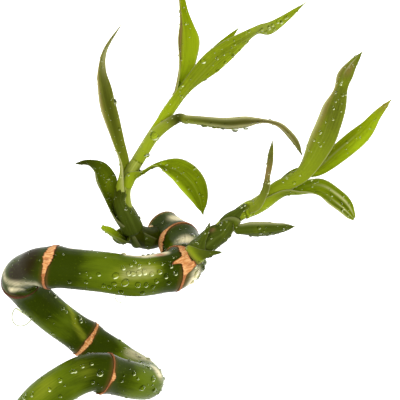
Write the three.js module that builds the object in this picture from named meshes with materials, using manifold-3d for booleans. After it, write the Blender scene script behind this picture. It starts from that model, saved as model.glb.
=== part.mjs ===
// Lucky bamboo: a cut, curly cane with two leafy shoots, lying on a table.
//
// Millimetres, +Z up off the table, +Y the way the shoots point. The cane winds down from its sealed
// top end, through one and a half visible turns and one more below, to a short straight foot. Dry
// leaf-scar rings sit in shallow grooves round its nodes. Each shoot is a stem with separate leaves
// and bracts, whose bases clasp the stem below them.

import * as THREE from 'three';
import { mergeVertices } from 'three/addons/utils/BufferGeometryUtils.js';
import Module from 'manifold-3d';

const wasm = await Module();
wasm.setup();

// Driving dimensions
const CANE_RADIUS = 7.6;
const TOP_CANE_RADIUS = 8.1;
const NODE_SWELLING = 0.8;
const NODE_SWELLING_LENGTH = 3.5;
const RING_THICKNESS = 0.75;
const RING_STAND_PROUD = 0.45;
const RING_SLANT_REACH = 10;
const RING_OPEN_BELOW = 1.5;
const GROOVE_WALL = 0.05;
const BLADE_THICKNESS = 0.6;
const GAP = 0.3;

// A leaf's base: its clearance to the stem, the step from one base to the next over it, the angle
// that it wraps to either side of its midrib, and where along the leaf it goes over into a fold
const SHEATH_INNER_CLEARANCE = 0.65;
const SHEATH_STEP = 1;
const SHEATH_WRAP = 105;
const FOLD_STARTS = 0.2;
const FOLD_FULL = 0.6;

// Middle of the outline seen from above, which is moved to the origin
const OUTLINE_CENTRE = new THREE.Vector3(-3.7, -56.8, 0);

// Mesh fineness
const CANE_SIDES = 16;
const CANE_STEP = 6;
const STEM_SIDES = 10;
const STEM_STEP = 5.5;
const BLADE_ROWS_PER_STATION = 1.5;
const BLADE_COLUMNS = 4;
const CURVE_DIVISIONS_PER_STATION = 40;
const GROOVE_ROW_CLEARANCE = 1.5;
const SMALL_STEP = 1e-3;
const MERGE_DISTANCE = 1e-4;
const SLIVER = 0.01;
const SLAB_SIZE = 600;
const SLAB_DEPTH = 40;

// Centre line of the cane from its foot to its sealed top end, with the radius of the internodes.
// A ring of a leaf scar lies at each named node, with its half width, and its slants: how far it
// runs up the cane on the side that faces +Z, and on the side that faces +Y.
const CANE = [
  { at: [-38.5, -210.5, 7.5], radius: CANE_RADIUS },
  { at: [-39, -184, 8.3], radius: CANE_RADIUS, ring: 'ring_foot', half: 1, slant: [0.5, 0] },
  { at: [-41.5, -162.5, 8.4], radius: CANE_RADIUS },
  { at: [-48, -144.5, 8.3], radius: CANE_RADIUS, ring: 'ring_lower_turn', half: 1.1, slant: [-0.6, 0] },
  { at: [-61, -131, 7.5], radius: CANE_RADIUS },
  { at: [-76, -121.5, 13], radius: CANE_RADIUS },
  { at: [-80, -106.5, 26.5], radius: CANE_RADIUS, ring: 'ring_lower_left', half: 0.9, slant: [0, 0] },
  { at: [-72.5, -92, 41.5], radius: CANE_RADIUS },
  { at: [-63, -80, 50], radius: CANE_RADIUS },
  { at: [-52, -72, 52], radius: CANE_RADIUS },
  { at: [-44, -69, 50.5], radius: CANE_RADIUS },
  { at: [-38.5, -70, 46.6], radius: CANE_RADIUS, ring: 'ring_front_arch', half: 0.9, slant: [-2.8, 0] },
  { at: [-27.5, -74.5, 36.5], radius: CANE_RADIUS },
  { at: [-23, -76.5, 26.5], radius: CANE_RADIUS },
  { at: [-26, -75, 16], radius: CANE_RADIUS },
  { at: [-33, -72, 9.5], radius: CANE_RADIUS },
  { at: [-38.5, -68.5, 7.5], radius: CANE_RADIUS },
  { at: [-50, -61, 8.2], radius: CANE_RADIUS, ring: 'ring_back', half: 1.3, slant: [0.3, 0] },
  { at: [-65, -48.5, 15.5], radius: CANE_RADIUS },
  { at: [-75, -34, 29], radius: CANE_RADIUS, ring: 'ring_left_bend', half: 0.7, slant: [0, 0] },
  { at: [-68, -28, 41.5], radius: CANE_RADIUS },
  { at: [-59.5, -27, 47.5], radius: TOP_CANE_RADIUS, ring: 'ring_front_left', half: 1.3, slant: [1.2, 1.6] },
  { at: [-40, -28.5, 52], radius: TOP_CANE_RADIUS },
  { at: [-24, -30.5, 50], radius: TOP_CANE_RADIUS },
  { at: [-9.5, -28, 41.5], radius: TOP_CANE_RADIUS, ring: 'ring_right_shoot', half: 1.2, slant: [-3, 2.6] },
  { at: [-5.5, -23.5, 29], radius: TOP_CANE_RADIUS },
  { at: [-8.8, -17.9, 16.4], radius: TOP_CANE_RADIUS, ring: 'ring_left_shoot', half: 1.3, slant: [0, 0] },
  { at: [-16.5, -12, 4.6], radius: CANE_RADIUS },
];

// Centre lines of the two shoots' stems: x, y, z, radius
const STEMS = {
  left_stem: [
    [-16, -15, 10, 4.6],
    [-22.5, -16.5, 15.5, 4.8],
    [-28.5, -13.5, 21.5, 4.3],
    [-31, -6.5, 27, 3.5],
    [-32, 1.5, 30.5, 2.9],
    [-30.5, 8.5, 31.5, 2.7],
    [-26, 16.5, 32, 2.5],
    [-20, 26.5, 32.5, 2.3],
    [-15, 34.5, 32, 2],
    [-10, 42.5, 31.5, 1.2],
  ],
  right_stem: [
    [-6.5, -26, 38.5, 4],
    [-2.5, -21.8, 41.5, 4],
    [3, -17.3, 42, 3.7],
    [8, -12.8, 42.2, 3.3],
    [12, -8.6, 41, 2.8],
    [16.8, -5.6, 39.5, 2.6],
    [25.5, -0.4, 38, 2.8],
    [33, 5, 36.5, 2.8],
    [40, 11, 34.5, 1.8],
  ],
};

// Leaves and bracts, the innermost of each shoot first. Each clasps its stem between the fractions
// `from` and `to` of the stem's stations, with its midrib on the side given in degrees about the
// stem (0 behind it, 90 right, 180 in front, -90 left), and `layer` counts the sheaths under it.
// Then come the blade's stations: x, y, z of the midrib, half width, roll and curl in degrees.
// Roll 0 shows the upper face to +Z. Curl is the turn from the midrib to either margin.
const LEAVES = {
  left_leaf_top: {
    stem: 'left_stem', from: 0.94, to: 1, side: -60, layer: 0, tint: 'bright',
    blade: [
      [-9.5, 47.5, 33, 3.5, -50, 100],
      [-7.5, 55.5, 34, 5.5, -40, 85],
      [-6.8, 65, 33, 7, -35, 70],
      [-7, 72.5, 31.5, 4.8, -40, 70],
      [-8, 80.5, 29, 3, -45, 70],
      [-8.5, 89, 25.5, 1.8, -45, 60],
      [-8, 97, 21.5, 0.4, -45, 40],
    ],
  },
  left_leaf_behind: {
    stem: 'left_stem', from: 0.87, to: 0.93, side: -10, layer: 0, tint: 'bright',
    blade: [
      [-4, 50.5, 27, 2.5, 10, 80],
      [2, 58, 24.5, 2.5, 20, 40],
      [9, 65.5, 22.5, 2, 20, 30],
      [16.5, 73.5, 20.5, 0.4, 20, 20],
    ],
  },
  left_leaf_long: {
    stem: 'left_stem', from: 0.8, to: 0.88, side: 130, layer: 0, tint: 'bright',
    blade: [
      [-6, 44.5, 35.5, 3.8, 140, 80],
      [4, 55.5, 36, 4.9, 160, 40],
      [10.5, 61, 35, 4.6, 160, 30],
      [16.5, 65.5, 33.5, 3.6, 150, 35],
      [24.5, 70.5, 31, 2.9, 120, 40],
      [29.5, 72, 29, 2.9, 150, 30],
      [35.5, 76, 26.5, 2.1, 150, 30],
      [45.5, 84.5, 23, 0.4, 140, 20],
    ],
  },
  left_leaf_level: {
    stem: 'left_stem', from: 0.66, to: 0.78, side: 115, layer: 0, tint: 'olive',
    blade: [
      [-9.5, 32, 36, 4, 120, 100],
      [-5.5, 32, 37.5, 3.4, 118, 75],
      [2.5, 31.2, 38, 3.7, 120, 50],
      [12, 30.2, 37, 4.6, 124, 45],
      [20, 31, 35.5, 4.2, 118, 45],
      [27, 32.2, 34, 2.5, 100, 45],
      [33.5, 30.2, 32.5, 2.5, 112, 40],
      [39, 25, 30, 2.2, 122, 30],
      [43, 18.6, 28, 0.4, 120, 20],
    ],
  },
  left_leaf_drooping: {
    stem: 'left_stem', from: 0.5, to: 0.58, side: 92, layer: 0, tint: 'green',
    blade: [
      [-23.5, 11, 33.5, 2.2, 92, 90],
      [-19, 13.6, 35.5, 2.2, 80, 70],
      [-14.2, 13.4, 36.6, 3.8, 40, 45],
      [-8.4, 11.6, 37, 5.4, 18, 30],
      [-3.6, 7.4, 36, 5.8, 6, 30],
      [-0.4, 1.4, 33, 3.9, 8, 30],
      [1.3, -6.3, 29, 0.4, 10, 20],
    ],
  },
  left_leaf_tall: {
    stem: 'left_stem', from: 0.4, to: 0.48, side: -90, layer: 0, tint: 'olive',
    blade: [
      [-32.8, 14, 33.8, 4.2, -65, 80],
      [-35, 24, 35, 4.2, -50, 55],
      [-38.5, 36.5, 36.5, 4.9, -46, 45],
      [-40.5, 45.5, 36.5, 4.5, -50, 45],
      [-41.5, 54, 35.5, 3.2, -60, 50],
      [-39.8, 62.5, 34, 1.7, -62, 50],
      [-32.6, 73.6, 31.5, 0.4, -55, 40],
    ],
  },
  left_leaf_dark: {
    stem: 'left_stem', from: 0.17, to: 0.28, side: -60, layer: 0, tint: 'dark',
    blade: [
      [-37, -2.5, 29, 5, -45, 75],
      [-38.5, 3.5, 31, 5.2, -35, 60],
      [-40, 8.5, 32, 5.1, -30, 50],
      [-42, 12.5, 32, 4, -35, 50],
      [-46, 15, 31, 2.4, -45, 50],
      [-52.3, 15.4, 29, 0.7, -45, 30],
    ],
  },
  left_bract_front: {
    stem: 'left_stem', from: 0.24, to: 0.36, side: 165, layer: 1, tint: 'dark',
    blade: [
      [-32.8, -0.5, 34.6, 4.4, 172, 95],
      [-31.9, 4.7, 35, 4.7, 175, 90],
    ],
  },
  left_bract_cupped: {
    stem: 'left_stem', from: 0.11, to: 0.2, side: -90, layer: 0, tint: 'dark',
    blade: [
      [-33, -18.5, 24.5, 4, -80, 90],
      [-37.5, -15, 27, 3.6, -70, 80],
      [-41.8, -11.8, 28, 2, -65, 60],
    ],
  },
  right_leaf_upper: {
    stem: 'right_stem', from: 0.9, to: 1, side: 10, layer: 0, tint: 'bright',
    blade: [
      [49.5, 12.5, 31, 3.2, 10, 60],
      [57.5, 18.5, 30, 4.6, 15, 55],
      [64, 24, 30, 4.6, 15, 50],
      [69.5, 29, 29, 4, 15, 50],
      [74.5, 35.5, 27.5, 2.2, 15, 50],
      [81.08, 42.7, 25, 0.4, 15, 30],
    ],
  },
  right_leaf_tall: {
    stem: 'right_stem', from: 0.76, to: 0.87, side: -125, layer: 0, tint: 'green',
    blade: [
      [42, 12, 40.5, 4.4, -150, 60],
      [49.5, 24, 40, 5.6, -165, 35],
      [53, 32, 38, 5.5, -165, 30],
      [55.5, 39, 35.5, 5, -160, 30],
      [58, 46.5, 33.5, 3.6, -140, 35],
      [60.5, 52.5, 31.5, 3.6, -155, 30],
      [64, 57.5, 29, 2.2, -155, 30],
      [69, 63, 25.5, 0.4, -150, 20],
    ],
  },
  right_leaf_drooping: {
    stem: 'right_stem', from: 0.64, to: 0.74, side: 85, layer: 1, tint: 'green',
    blade: [
      [34.6, 1.6, 36.6, 5, 78, 88],
      [41, 2.5, 36.2, 5.4, 62, 75],
      [47, 3.8, 35.2, 5.2, 42, 58],
      [51.5, 3.1, 34, 5.2, 32, 45],
      [56.5, -0.3, 32.5, 5.2, 30, 45],
      [61, -4, 30.5, 4.2, 30, 45],
      [64.8, -8, 28, 1.2, 35, 30],
    ],
  },
  right_leaf_slender: {
    stem: 'right_stem', from: 0.58, to: 0.68, side: -135, layer: 0, tint: 'olive',
    blade: [
      [22.5, -0.6, 43.4, 4.2, -115, 75],
      [25.2, 3.8, 44, 3.4, -110, 65],
      [26.6, 9, 42.5, 3.1, -100, 60],
      [27.8, 16, 40.5, 2.6, -112, 50],
      [30, 25, 37, 0.4, -120, 30],
    ],
  },
  right_bract_behind: {
    stem: 'right_stem', from: 0.44, to: 0.52, side: -130, layer: 0, tint: 'dark',
    blade: [
      [15.4, -3.8, 43.4, 2.8, -140, 75],
      [19.2, -1.6, 43, 0.5, -140, 40],
    ],
  },
  right_leaf_level: {
    stem: 'right_stem', from: 0.38, to: 0.45, side: 115, layer: 0, tint: 'dark',
    blade: [
      [15.5, -13.2, 45, 4, 130, 85],
      [21, -13.2, 46.5, 4.6, 140, 60],
      [28.5, -12.8, 45.5, 4.1, 140, 50],
      [33.5, -12, 44, 2.7, 140, 45],
      [38.9, -10.8, 41.5, 0.4, 140, 30],
    ],
  },
  right_bract_round: {
    stem: 'right_stem', from: 0.21, to: 0.31, side: 172, layer: 1, tint: 'dark',
    blade: [
      [8.6, -13.8, 47.8, 5.2, 178, 88],
      [10.8, -11, 47.2, 4.6, 180, 82],
      [12.3, -8.6, 46.4, 2.2, 182, 70],
    ],
  },
  right_bract_pointed: {
    stem: 'right_stem', from: 0.1, to: 0.18, side: -140, layer: 0, tint: 'dark',
    blade: [
      [0.4, -15.6, 46.6, 2.6, -130, 70],
      [2, -12.8, 46.8, 1.9, -125, 60],
      [4, -9, 46, 0.4, -120, 40],
    ],
  },
  right_bract_lower: {
    stem: 'right_stem', from: 0.08, to: 0.14, side: 125, layer: 1, tint: 'dark',
    blade: [
      [3.4, -22.8, 46.5, 3, 130, 75],
      [9, -21, 46.5, 0.6, 130, 40],
    ],
  },
};

const FINISHES = {
  cane: { color: 0x3f5c17, roughness: 0.35 },
  ring: { color: 0xb98a4a, roughness: 0.8 },
  stem: { color: 0x9fb032, roughness: 0.45 },
  bright: { color: 0x9ab61c, roughness: 0.4 },
  green: { color: 0x5f8a14, roughness: 0.4 },
  olive: { color: 0x6f7f2c, roughness: 0.4 },
  dark: { color: 0x2f4a12, roughness: 0.4 },
};

// Catmull-Rom curve through rows of numbers, every column at once; t runs from 0 to 1 over the rows.
function along(rows, t) {
  const place = THREE.MathUtils.clamp(t, 0, 1) * (rows.length - 1);
  const i = Math.min(Math.floor(place), rows.length - 2);
  const f = place - i;
  return rows[i].map((start, column) => {
    const end = rows[i + 1][column];
    const before = i > 0 ? rows[i - 1][column] : 2 * start - end;
    const after = i < rows.length - 2 ? rows[i + 2][column] : 2 * end - start;
    const slopeIn = (end - before) / 2;
    const slopeOut = (after - start) / 2;
    const bend = 3 * (end - start) - 2 * slopeIn - slopeOut;
    const twist = 2 * (start - end) + slopeIn + slopeOut;
    return start + f * (slopeIn + f * (bend + f * twist));
  });
}

function solidOf(positions, indices) {
  const mesh = new wasm.Mesh({
    numProp: 3,
    vertProperties: new Float32Array(positions),
    triVerts: new Uint32Array(indices),
  });
  mesh.merge();
  return new wasm.Manifold(mesh);
}

function solidOfGeometry(geometry) {
  geometry.deleteAttribute('normal');
  geometry.deleteAttribute('uv');
  const merged = mergeVertices(geometry, MERGE_DISTANCE);
  return solidOf(merged.attributes.position.array, merged.index.array);
}

function geometryOf(solid) {
  const mesh = solid.getMesh();
  const geometry = new THREE.BufferGeometry();
  geometry.setAttribute('position', new THREE.BufferAttribute(mesh.vertProperties, 3));
  geometry.setIndex(new THREE.BufferAttribute(mesh.triVerts, 1));
  return geometry;
}

// The body that is left when a cut has also made loose scraps.
function largestBody(solid) {
  return solid.decompose().reduce((best, body) => (body.volume() > best.volume() ? body : best));
}

// What is left of a solid beside the pieces already made, without the slivers that a cut leaves.
function cutClear(solid, pieces) {
  return largestBody(solid.subtract(pieces).simplify(SLIVER));
}

function curveThrough(points) {
  const vectors = points.map(([x, y, z]) => new THREE.Vector3(x, y, z));
  const curve = new THREE.CatmullRomCurve3(vectors, false, 'catmullrom', 0.5);
  curve.arcLengthDivisions = CURVE_DIVISIONS_PER_STATION * (points.length - 1);
  return curve;
}

// Frames along a curve that don't turn about it, at the given fractions of its length.
function framesAlong(curve, fractions) {
  let normal = new THREE.Vector3(0, 0, 1);
  return fractions.map((fraction) => {
    const tangent = curve.getTangentAt(fraction);
    normal = normal.clone().addScaledVector(tangent, -normal.dot(tangent)).normalize();
    return { tangent, normal, binormal: new THREE.Vector3().crossVectors(tangent, normal) };
  });
}

// A closed rod: a cylinder's wall whose rows and sides are carried to surfaceAt(row, direction).
function rod(rows, sides, surfaceAt) {
  const geometry = new THREE.CylinderGeometry(1, 1, 1, sides, rows - 1);
  const position = geometry.attributes.position;
  for (let n = 0; n < position.count; n += 1) {
    const row = Math.round((position.getY(n) + 0.5) * (rows - 1));
    const point = surfaceAt(row, position.getX(n), -position.getZ(n));
    position.setXYZ(n, point.x, point.y, point.z);
  }
  return solidOfGeometry(geometry);
}

const caneCurve = curveThrough(CANE.map((station) => station.at));
const caneLengths = caneCurve.getLengths();
const caneLength = caneLengths.at(-1);

// How far along the cane a station lies, in millimetres.
function distanceAt(stationNumber) {
  return caneLengths[(stationNumber * caneCurve.arcLengthDivisions) / (CANE.length - 1)];
}

const nodes = CANE.map((station, number) => ({ ...station, distance: distanceAt(number) }))
  .filter((station) => station.ring);

// A bell curve of 1 at a node, falling away over a reach to both sides.
function bell(distance, node, reach) {
  return Math.exp(-(((distance - node.distance) / reach) ** 2));
}

// Radius of the cane: the internode's own, swollen round each node.
function caneRadius(distance) {
  const t = caneCurve.getUtoTmapping(distance / caneLength);
  const [internode] = along(CANE.map((station) => [station.radius]), t);
  const swell = (sum, node) => sum + NODE_SWELLING * bell(distance, node, NODE_SWELLING_LENGTH);
  return nodes.reduce(swell, internode);
}

// The point of the cane's surface at a distance along it, in a direction about its centre line. Near
// a slanted ring the surface is pushed along the cane, so that ring and groove slant together.
function canePoint(distance, frame, across, around, radius) {
  const direction = frame.normal.clone().multiplyScalar(across);
  direction.addScaledVector(frame.binormal, around);
  const push = nodes.reduce((sum, node) => {
    const slant = node.slant[0] * direction.z + node.slant[1] * direction.y;
    return sum + slant * bell(distance, node, RING_SLANT_REACH);
  }, 0);
  const fraction = THREE.MathUtils.clamp((distance + push) / caneLength, 0, 1);
  const centre = caneCurve.getPointAt(fraction);
  const tangent = caneCurve.getTangentAt(fraction);
  direction.addScaledVector(tangent, -direction.dot(tangent)).normalize();
  return centre.addScaledVector(direction, radius * Math.hypot(across, around));
}

// Rows of the cane: even steps, with a pair at each edge of each groove.
function caneRows() {
  const count = Math.round(caneLength / CANE_STEP);
  const edge = (node) => node.half + GAP;
  const clearOf = (node, distance) => (
    Math.abs(distance - node.distance) > edge(node) + GROOVE_ROW_CLEARANCE
  );
  const clear = (distance) => nodes.every((node) => clearOf(node, distance));
  const even = Array.from({ length: count + 1 }, (_, n) => ({ distance: (n * caneLength) / count }));
  const edges = nodes.flatMap((node) => [-1, 1].flatMap((side) => [
    { distance: node.distance + side * edge(node), groove: node },
    { distance: node.distance + side * (edge(node) + GROOVE_WALL) },
  ]));
  const kept = even.filter((row) => clear(row.distance));
  return [...kept, ...edges].sort((a, b) => a.distance - b.distance);
}

// The cane with its grooves, or that body grown by a margin and with no grooves.
function caneRod(margin, grooved) {
  const rows = caneRows();
  const frames = framesAlong(caneCurve, rows.map((row) => row.distance / caneLength));
  return rod(rows.length, CANE_SIDES, (row, across, around) => {
    const { distance, groove } = rows[row];
    const bottom = groove && grooved ? ringRadii(groove, GAP).inner : caneRadius(distance);
    return canePoint(distance, frames[row], across, around, bottom + margin);
  });
}

function ringRadii(node, margin) {
  const outer = caneRadius(node.distance) + RING_STAND_PROUD;
  return { outer: outer + margin, inner: outer - RING_THICKNESS - margin };
}

// One dry ring: a square-cut band round the node, as a torus whose section has four corners.
function nodeRing(node, margin) {
  const { outer, inner } = ringRadii(node, margin);
  const half = node.half + margin;
  const corners = [
    { shift: -half, radius: inner },
    { shift: -half, radius: outer },
    { shift: half, radius: outer },
    { shift: half, radius: inner },
  ];
  const [frame] = framesAlong(caneCurve, [node.distance / caneLength]);
  const band = new THREE.TorusGeometry(2, 1, corners.length, CANE_SIDES);
  const position = band.attributes.position;
  for (let n = 0; n < position.count; n += 1) {
    const { shift, radius } = corners[Math.floor(n / (CANE_SIDES + 1)) % corners.length];
    const angle = (2 * Math.PI * (n % (CANE_SIDES + 1))) / CANE_SIDES;
    const [across, around] = [Math.cos(angle), Math.sin(angle)];
    const point = canePoint(node.distance + shift, frame, across, around, radius);
    position.setXYZ(n, point.x, point.y, point.z);
  }
  return solidOfGeometry(band);
}

// Everything below a height, as a slab to cut away.
function slabBelow(height) {
  const slab = new THREE.BoxGeometry(SLAB_SIZE, SLAB_SIZE, SLAB_DEPTH);
  slab.translate(0, 0, height - SLAB_DEPTH / 2);
  return solidOfGeometry(slab);
}

function stemRod(rows, margin) {
  const curve = curveThrough(rows);
  const count = Math.round(curve.getLength() / STEM_STEP) + 1;
  const fractions = Array.from({ length: count }, (_, n) => n / (count - 1));
  const frames = framesAlong(curve, fractions);
  return rod(count, STEM_SIDES, (row, across, around) => {
    const radius = along(rows, curve.getUtoTmapping(fractions[row]))[3] + margin;
    return curve.getPointAt(fractions[row])
      .addScaledVector(frames[row].normal, radius * across)
      .addScaledVector(frames[row].binormal, radius * around);
  });
}

// Frame of a blade or sheath: along the growth, across to the right margin, and up from its face.
function bladeFrame(tangent, rollDegrees) {
  const roll = THREE.MathUtils.degToRad(rollDegrees);
  const level = new THREE.Vector3().crossVectors(tangent, new THREE.Vector3(0, 0, 1)).normalize();
  const face = new THREE.Vector3().crossVectors(level, tangent).normalize();
  const across = level.clone().multiplyScalar(Math.cos(roll)).addScaledVector(face, Math.sin(roll));
  const up = face.clone().multiplyScalar(Math.cos(roll)).addScaledVector(level, -Math.sin(roll));
  return { across, up };
}

// The two stations where a leaf clasps its stem: the midrib lies on the stem's surface, and the
// curl about it is the wrap round the stem.
function claspStations(leaf) {
  const rows = STEMS[leaf.stem];
  const curve = curveThrough(rows);
  return [leaf.from, leaf.to].map((t) => {
    const [x, y, z, radius] = along(rows, t);
    const reach = radius + SHEATH_INNER_CLEARANCE + BLADE_THICKNESS / 2 + SHEATH_STEP * leaf.layer;
    const { up } = bladeFrame(curve.getTangent(t), leaf.side);
    const midrib = new THREE.Vector3(x, y, z).addScaledVector(up, -reach);
    const half = THREE.MathUtils.degToRad(SHEATH_WRAP) * reach;
    return [...midrib.toArray(), half, leaf.side, SHEATH_WRAP];
  });
}

// A leaf: at each station its section is half an arc and half a soft fold along the midrib, and the
// blade stands to both sides of that surface, with the same triangles on both faces.
function blade(leaf, extra) {
  const stations = [...claspStations(leaf), ...leaf.blade];
  const rowCount = Math.round(BLADE_ROWS_PER_STATION * (stations.length - 1));
  const spine = curveThrough(stations);
  const pointAt = (t, v) => {
    const [x, y, z, halfWidth, roll, curlDegrees] = along(stations, t);
    const curl = THREE.MathUtils.degToRad(curlDegrees);
    const { across, up } = bladeFrame(spine.getTangent(THREE.MathUtils.clamp(t, 0, 1)), roll);
    const half = halfWidth + extra;
    const fold = THREE.MathUtils.smoothstep(t, FOLD_STARTS, FOLD_FULL) / 2;
    const arcAcross = Math.sin(curl * v) / curl;
    const arcUp = (1 - Math.cos(curl * v)) / curl;
    const foldAcross = v * Math.cos(curl / 2);
    const foldUp = Math.abs(v) * Math.sin(curl / 2);
    return new THREE.Vector3(x, y, z)
      .addScaledVector(across, half * THREE.MathUtils.lerp(arcAcross, foldAcross, fold))
      .addScaledVector(up, half * THREE.MathUtils.lerp(arcUp, foldUp, fold));
  };
  const positions = { top: [], bottom: [] };
  const lift = BLADE_THICKNESS / 2 + extra;
  for (let row = 0; row <= rowCount; row += 1) {
    for (let column = 0; column <= BLADE_COLUMNS; column += 1) {
      const t = row / rowCount;
      const v = (2 * column) / BLADE_COLUMNS - 1;
      const further = pointAt(Math.min(t + SMALL_STEP, 1), v);
      const growth = further.sub(pointAt(Math.max(t - SMALL_STEP, 0), v));
      const sideways = pointAt(t, v + SMALL_STEP).sub(pointAt(t, v - SMALL_STEP));
      const normal = sideways.cross(growth).normalize();
      const middle = pointAt(t, v);
      positions.top.push(...middle.clone().addScaledVector(normal, lift).toArray());
      positions.bottom.push(...middle.clone().addScaledVector(normal, -lift).toArray());
    }
  }
  return sheetSolid(positions, rowCount, BLADE_COLUMNS);
}

// Closes two grids of points, one over the other, into one solid with a narrow rim.
function sheetSolid({ top, bottom }, rowCount, columnCount) {
  const width = columnCount + 1;
  const under = width * (rowCount + 1);
  const indices = [];
  const quad = (a, b, c, d) => indices.push(a, b, c, a, c, d);
  for (let row = 0; row < rowCount; row += 1) {
    for (let column = 0; column < columnCount; column += 1) {
      const a = row * width + column;
      const b = a + 1;
      const c = b + width;
      const d = a + width;
      indices.push(a, b, c, a, c, d);
      indices.push(a + under, c + under, b + under, a + under, d + under, c + under);
    }
    const left = row * width;
    const right = left + columnCount;
    quad(left, left + width, left + width + under, left + under);
    quad(right + width, right, right + under, right + width + under);
  }
  for (let column = 0; column < columnCount; column += 1) {
    const last = rowCount * width + column;
    quad(column + 1, column, column + under, column + 1 + under);
    quad(last, last + 1, last + 1 + under, last + under);
  }
  return solidOf([...top, ...bottom], indices);
}

const plant = new THREE.Group();
plant.position.copy(OUTLINE_CENTRE).negate();

function addPiece(name, solid, finish) {
  const material = new THREE.MeshStandardMaterial({ ...FINISHES[finish], metalness: 0 });
  const mesh = new THREE.Mesh(geometryOf(solid), material);
  mesh.name = name;
  plant.add(mesh);
}

// The rings stay clear of the table: those at nodes that rest on it are open underneath.
let taken = caneRod(GAP, false);
for (const node of nodes) {
  addPiece(node.ring, nodeRing(node, 0).subtract(slabBelow(RING_OPEN_BELOW)), 'ring');
  taken = taken.add(nodeRing(node, GAP));
}

// The cane rests on small flats where its nodes and its lowest turns meet the table.
addPiece('cane', largestBody(caneRod(0, true).subtract(slabBelow(0))), 'cane');

for (const [name, rows] of Object.entries(STEMS)) {
  addPiece(name, cutClear(stemRod(rows, 0), taken), 'stem');
}
for (const rows of Object.values(STEMS)) {
  taken = taken.add(stemRod(rows, GAP));
}

for (const [name, leaf] of Object.entries(LEAVES)) {
  addPiece(name, cutClear(blade(leaf, 0), taken), leaf.tint);
  taken = taken.add(blade(leaf, GAP));
}

export default plant;
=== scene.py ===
"""Lucky bamboo: the looks of a cut, curly cane with two leafy shoots, lying on a pale table.

Every piece is a grid of points worked out in millimetres in the cane's own measure, moved to the
origin of the frame and stored in metres. The cane's skin follows the same route as the solid cane,
the leaves the same stations as the solid leaves, and the water drops sit on those surfaces.
"""

from collections import namedtuple

import bmesh
import bpy
import numpy as np
from bpy.props import FloatProperty, FloatVectorProperty, IntProperty, PointerProperty
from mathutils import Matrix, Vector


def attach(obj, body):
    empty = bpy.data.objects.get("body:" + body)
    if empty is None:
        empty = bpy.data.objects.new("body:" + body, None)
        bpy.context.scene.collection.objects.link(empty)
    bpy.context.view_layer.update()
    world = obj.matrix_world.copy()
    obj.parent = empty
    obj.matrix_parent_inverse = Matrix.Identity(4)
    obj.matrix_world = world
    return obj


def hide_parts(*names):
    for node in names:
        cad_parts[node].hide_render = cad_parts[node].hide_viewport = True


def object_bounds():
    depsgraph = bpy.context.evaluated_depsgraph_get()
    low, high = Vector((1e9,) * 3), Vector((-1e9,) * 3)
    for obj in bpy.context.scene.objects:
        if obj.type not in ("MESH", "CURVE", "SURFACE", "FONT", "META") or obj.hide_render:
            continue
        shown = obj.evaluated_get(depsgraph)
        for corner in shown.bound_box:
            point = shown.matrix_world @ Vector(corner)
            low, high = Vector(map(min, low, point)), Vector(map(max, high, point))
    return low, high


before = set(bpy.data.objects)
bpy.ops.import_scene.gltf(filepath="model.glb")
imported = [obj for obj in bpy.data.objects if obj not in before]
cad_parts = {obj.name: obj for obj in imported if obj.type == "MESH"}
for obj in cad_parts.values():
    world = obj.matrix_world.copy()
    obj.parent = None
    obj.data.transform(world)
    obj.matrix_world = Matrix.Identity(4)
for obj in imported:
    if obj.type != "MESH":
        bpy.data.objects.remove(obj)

bl_info = {
    "name": "Lucky bamboo",
    "version": (1, 0, 0),
    "blender": (4, 5, 0),
    "location": "3D View > Sidebar > Bamboo",
    "description": "Builds a curly lucky bamboo cane with rings, shoots, leaves and water drops",
    "category": "Add Mesh",
}

# Millimetres to metres, the step from the plant's own measure to the frame's origin, the way up, the
# box of the solids, the height that no piece passes, just under the top of that box, and the height
# that rings, drops and buds keep over the table
MM = 0.001
TO_ORIGIN = np.array([3.7, 56.8, 0.0])
UP = np.array([0.0, 0.0, 1.0])
CAD_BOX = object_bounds()
CAD_TOP = CAD_BOX[1].z / MM - 0.01
CLEAR_OF_TABLE = 0.05

# The cane's centre line from its foot to its sealed top end: x, y, z, radius of the internode
CANE_ROUTE = [
    (-38.5, -210.5, 7.5, 7.6), (-39, -184, 8.3, 7.6), (-41.5, -162.5, 8.4, 7.6),
    (-48, -144.5, 8.3, 7.6), (-61, -131, 7.5, 7.6), (-76, -121.5, 13, 7.6), (-80, -106.5, 26.5, 7.6),
    (-72.5, -92, 41.5, 7.6), (-63, -80, 50, 7.6), (-52, -72, 52, 7.6), (-44, -69, 50.5, 7.6),
    (-38.5, -70, 46.6, 7.6), (-27.5, -74.5, 36.5, 7.6), (-23, -76.5, 26.5, 7.6), (-26, -75, 16, 7.6),
    (-33, -72, 9.5, 7.6), (-38.5, -68.5, 7.5, 7.6), (-50, -61, 8.2, 7.6), (-65, -48.5, 15.5, 7.6),
    (-75, -34, 29, 7.6), (-68, -28, 41.5, 7.6), (-59.5, -27, 47.5, 8.1), (-40, -28.5, 52, 8.1),
    (-24, -30.5, 50, 8.1), (-9.5, -28, 41.5, 8.1), (-5.5, -23.5, 29, 8.1), (-8.8, -17.9, 16.4, 8.1),
    (-16.5, -12, 4.6, 7.6),
]

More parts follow.
